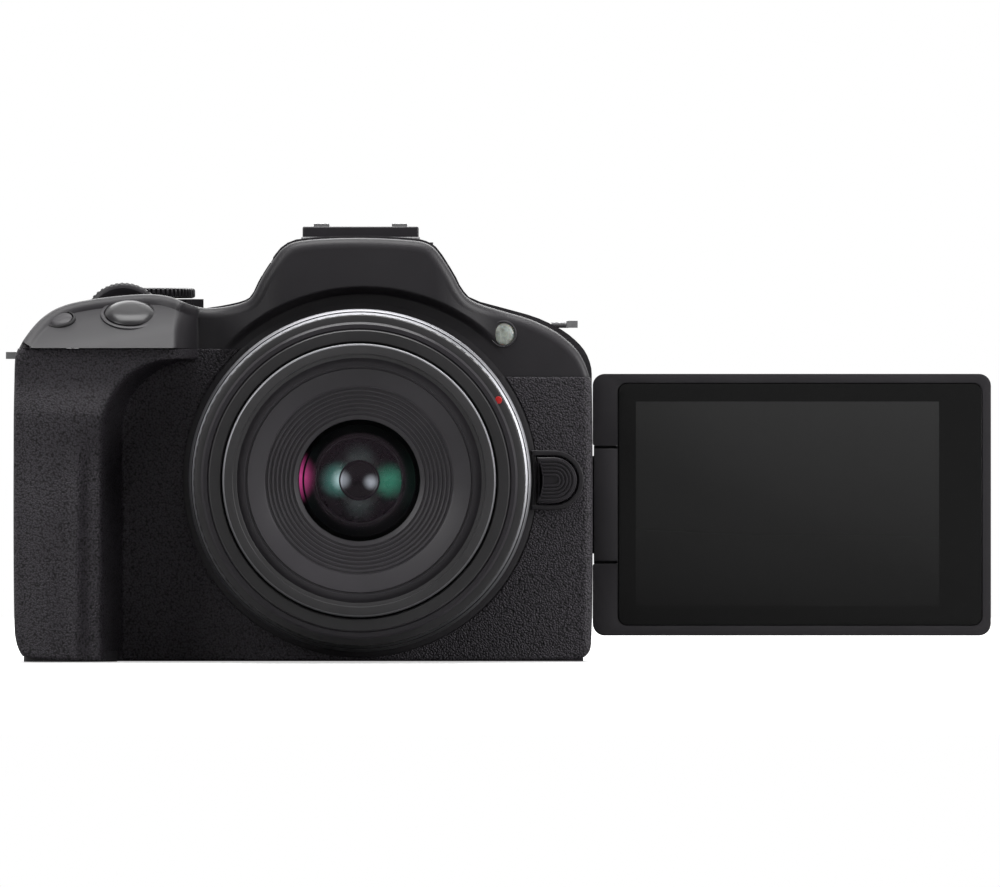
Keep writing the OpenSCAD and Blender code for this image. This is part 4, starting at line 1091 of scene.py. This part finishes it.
def raise_slab(bm, points, low, high, edge, segments=3):
    flat = bmesh.new()
    flat.faces.new([flat.verts.new((point.x, high, point.y)) for point in points])
    thicken(bm, flat, low, high, edge, segments)


def raise_ring(bm, outer, inner, low, high, edge, segments=3):
    flat = bmesh.new()
    loops = []
    for points in (outer, inner):
        verts = [flat.verts.new((point.x, high, point.y)) for point in points]
        loops += [flat.edges.new(pair) for pair in zip(verts, verts[1:] + verts[:1])]
    bmesh.ops.triangle_fill(flat, edges=loops, use_beauty=True, normal=(0, 1, 0))
    thicken(bm, flat, low, high, edge, segments)


print("slab tools ready")

# %% [markdown]
# The screen's frame is a ring round the glass on a solid back, with a notch on the side where the hinge arm
# comes in. The glass lies in a seat a little wider than itself, and the rear shell closes the back.

# %% Screen
frame_low, frame_high = node_box("screen_frame")
frame_low.x -= 0.22
glass_low, glass_high = Vector((52.1, 0, 7.1)), Vector((125.8, 0, 56.1))
GLASS_GAP = Vector((0.12, 0, 0.12))
NOTCH_X, NOTCH_LOW, NOTCH_HIGH = 51.9, 19.55, 43.45
SCREEN_FRONT, SCREEN_JOINT = frame_low.y, frame_high.y
SEAT_BACK = SCREEN_FRONT + 1.0
SCREEN_BACK = node_box("screen_back")[1].y

frame_corners = [(frame_low.x, frame_low.z), (frame_high.x, frame_low.z), (frame_high.x, frame_high.z),
                 (frame_low.x, frame_high.z), (frame_low.x, NOTCH_HIGH), (NOTCH_X, NOTCH_HIGH),
                 (NOTCH_X, NOTCH_LOW), (frame_low.x, NOTCH_LOW)]
frame_outline = rounded_outline(frame_corners, [2.4, 2.4, 2.4, 2.4, 0.5, 0, 0, 0.5])
glass_outline = rounded_outline(box_corners(glass_low, glass_high), [1.8] * 4)
glass_seat = rounded_outline(box_corners(glass_low - GLASS_GAP, glass_high + GLASS_GAP), [1.9] * 4)
bm = bmesh.new()
raise_ring(bm, frame_outline, glass_seat, SCREEN_FRONT, SEAT_BACK, 0.28)
raise_slab(bm, frame_outline, SEAT_BACK + 0.02, SCREEN_JOINT - 0.04, 0.1)
finish_piece("screen_bezel", bm, "screen", [body_plastic], ["screen_frame"])
bm = bmesh.new()
raise_slab(bm, glass_outline, SCREEN_FRONT + 0.06, SEAT_BACK, 0.18)
finish_piece("screen_cover_glass", bm, "screen", [cover_glass], ["screen_glass"])
bm = bmesh.new()
raise_slab(bm, frame_outline, SCREEN_JOINT, SCREEN_BACK, 0.7, 4)
finish_piece("screen_back_shell", bm, "screen", [body_plastic], ["screen_back"])
print("screen ready")

# %% [markdown]
# The hinge arm keeps its CAD shape. A thin slab behind it closes the view through the notch.

# %% Hinge arm
ARM_MIDDLE, BACKING_HALF = 31.5, 11.95
BACKING_LEFT, BACKING_RIGHT = 47.2, 51.9
backing_low = Vector((BACKING_LEFT, 0, ARM_MIDDLE - BACKING_HALF))
backing_high = Vector((BACKING_RIGHT, 0, ARM_MIDDLE + BACKING_HALF))
bm = softened_mesh("hinge_arm", 0.12, 40.0, 2)
raise_slab(bm, rounded_outline(box_corners(backing_low, backing_high), [0.1] * 4, 2), 8.4, 9.4, 0.05)
finish_piece("hinge_arm_soft", bm, "screen_arm", [body_plastic], ["hinge_arm"], SOFT_ANGLE)

# %% [markdown]
# The lens release is a U-shaped button beside the lens. Its outline is a half circle on the right and the
# lens's own arc on the left. Five nested ridges stand on it, and a raised rim on the body surrounds it.

# %% Release button
RIDGES = 5


def release_outline(radius, lens_gap):
    turns = [math.radians(angle) for angle in range(-90, 91, 9)]
    arc = [RELEASE + radius * Vector((math.cos(turn), math.sin(turn))) for turn in turns]
    reach = LENS_AXIS.z + radius
    side = math.sqrt(lens_gap ** 2 - radius ** 2)
    lean = math.asin(radius / lens_gap)
    turns = [lean * (1 - share / 4) for share in range(1, 8)]
    back = [Vector((lens_gap * math.cos(turn), LENS_AXIS.z + lens_gap * math.sin(turn))) for turn in turns]
    return arc + [Vector((side, reach))] + back + [Vector((side, LENS_AXIS.z - radius))]


bm = bmesh.new()
raise_slab(bm, release_outline(4.6, 35.9), FRONT - 1.5, FRONT - 0.9, 0.25, 3)
for step in range(RIDGES):
    radius = 4.2 - 0.72 * step
    raise_ring(bm, release_outline(radius, 36.1), release_outline(radius - 0.42, 36.6 + 0.1 * step),
               FRONT - 1.85, FRONT - 1.45, 0.1, 2)
finish_piece("release_ridges", bm, "release_button", [satin_plastic], ["release_button"],
             30.0)

bm = bmesh.new()
raise_ring(bm, release_outline(6.0, 35.0), release_outline(5.0, 35.2), FRONT - 0.95, FRONT + 0.5, 0.3)
finish_piece("release_surround", bm, "camera", [body_plastic], smooth_angle=30.0)
print("release button ready")
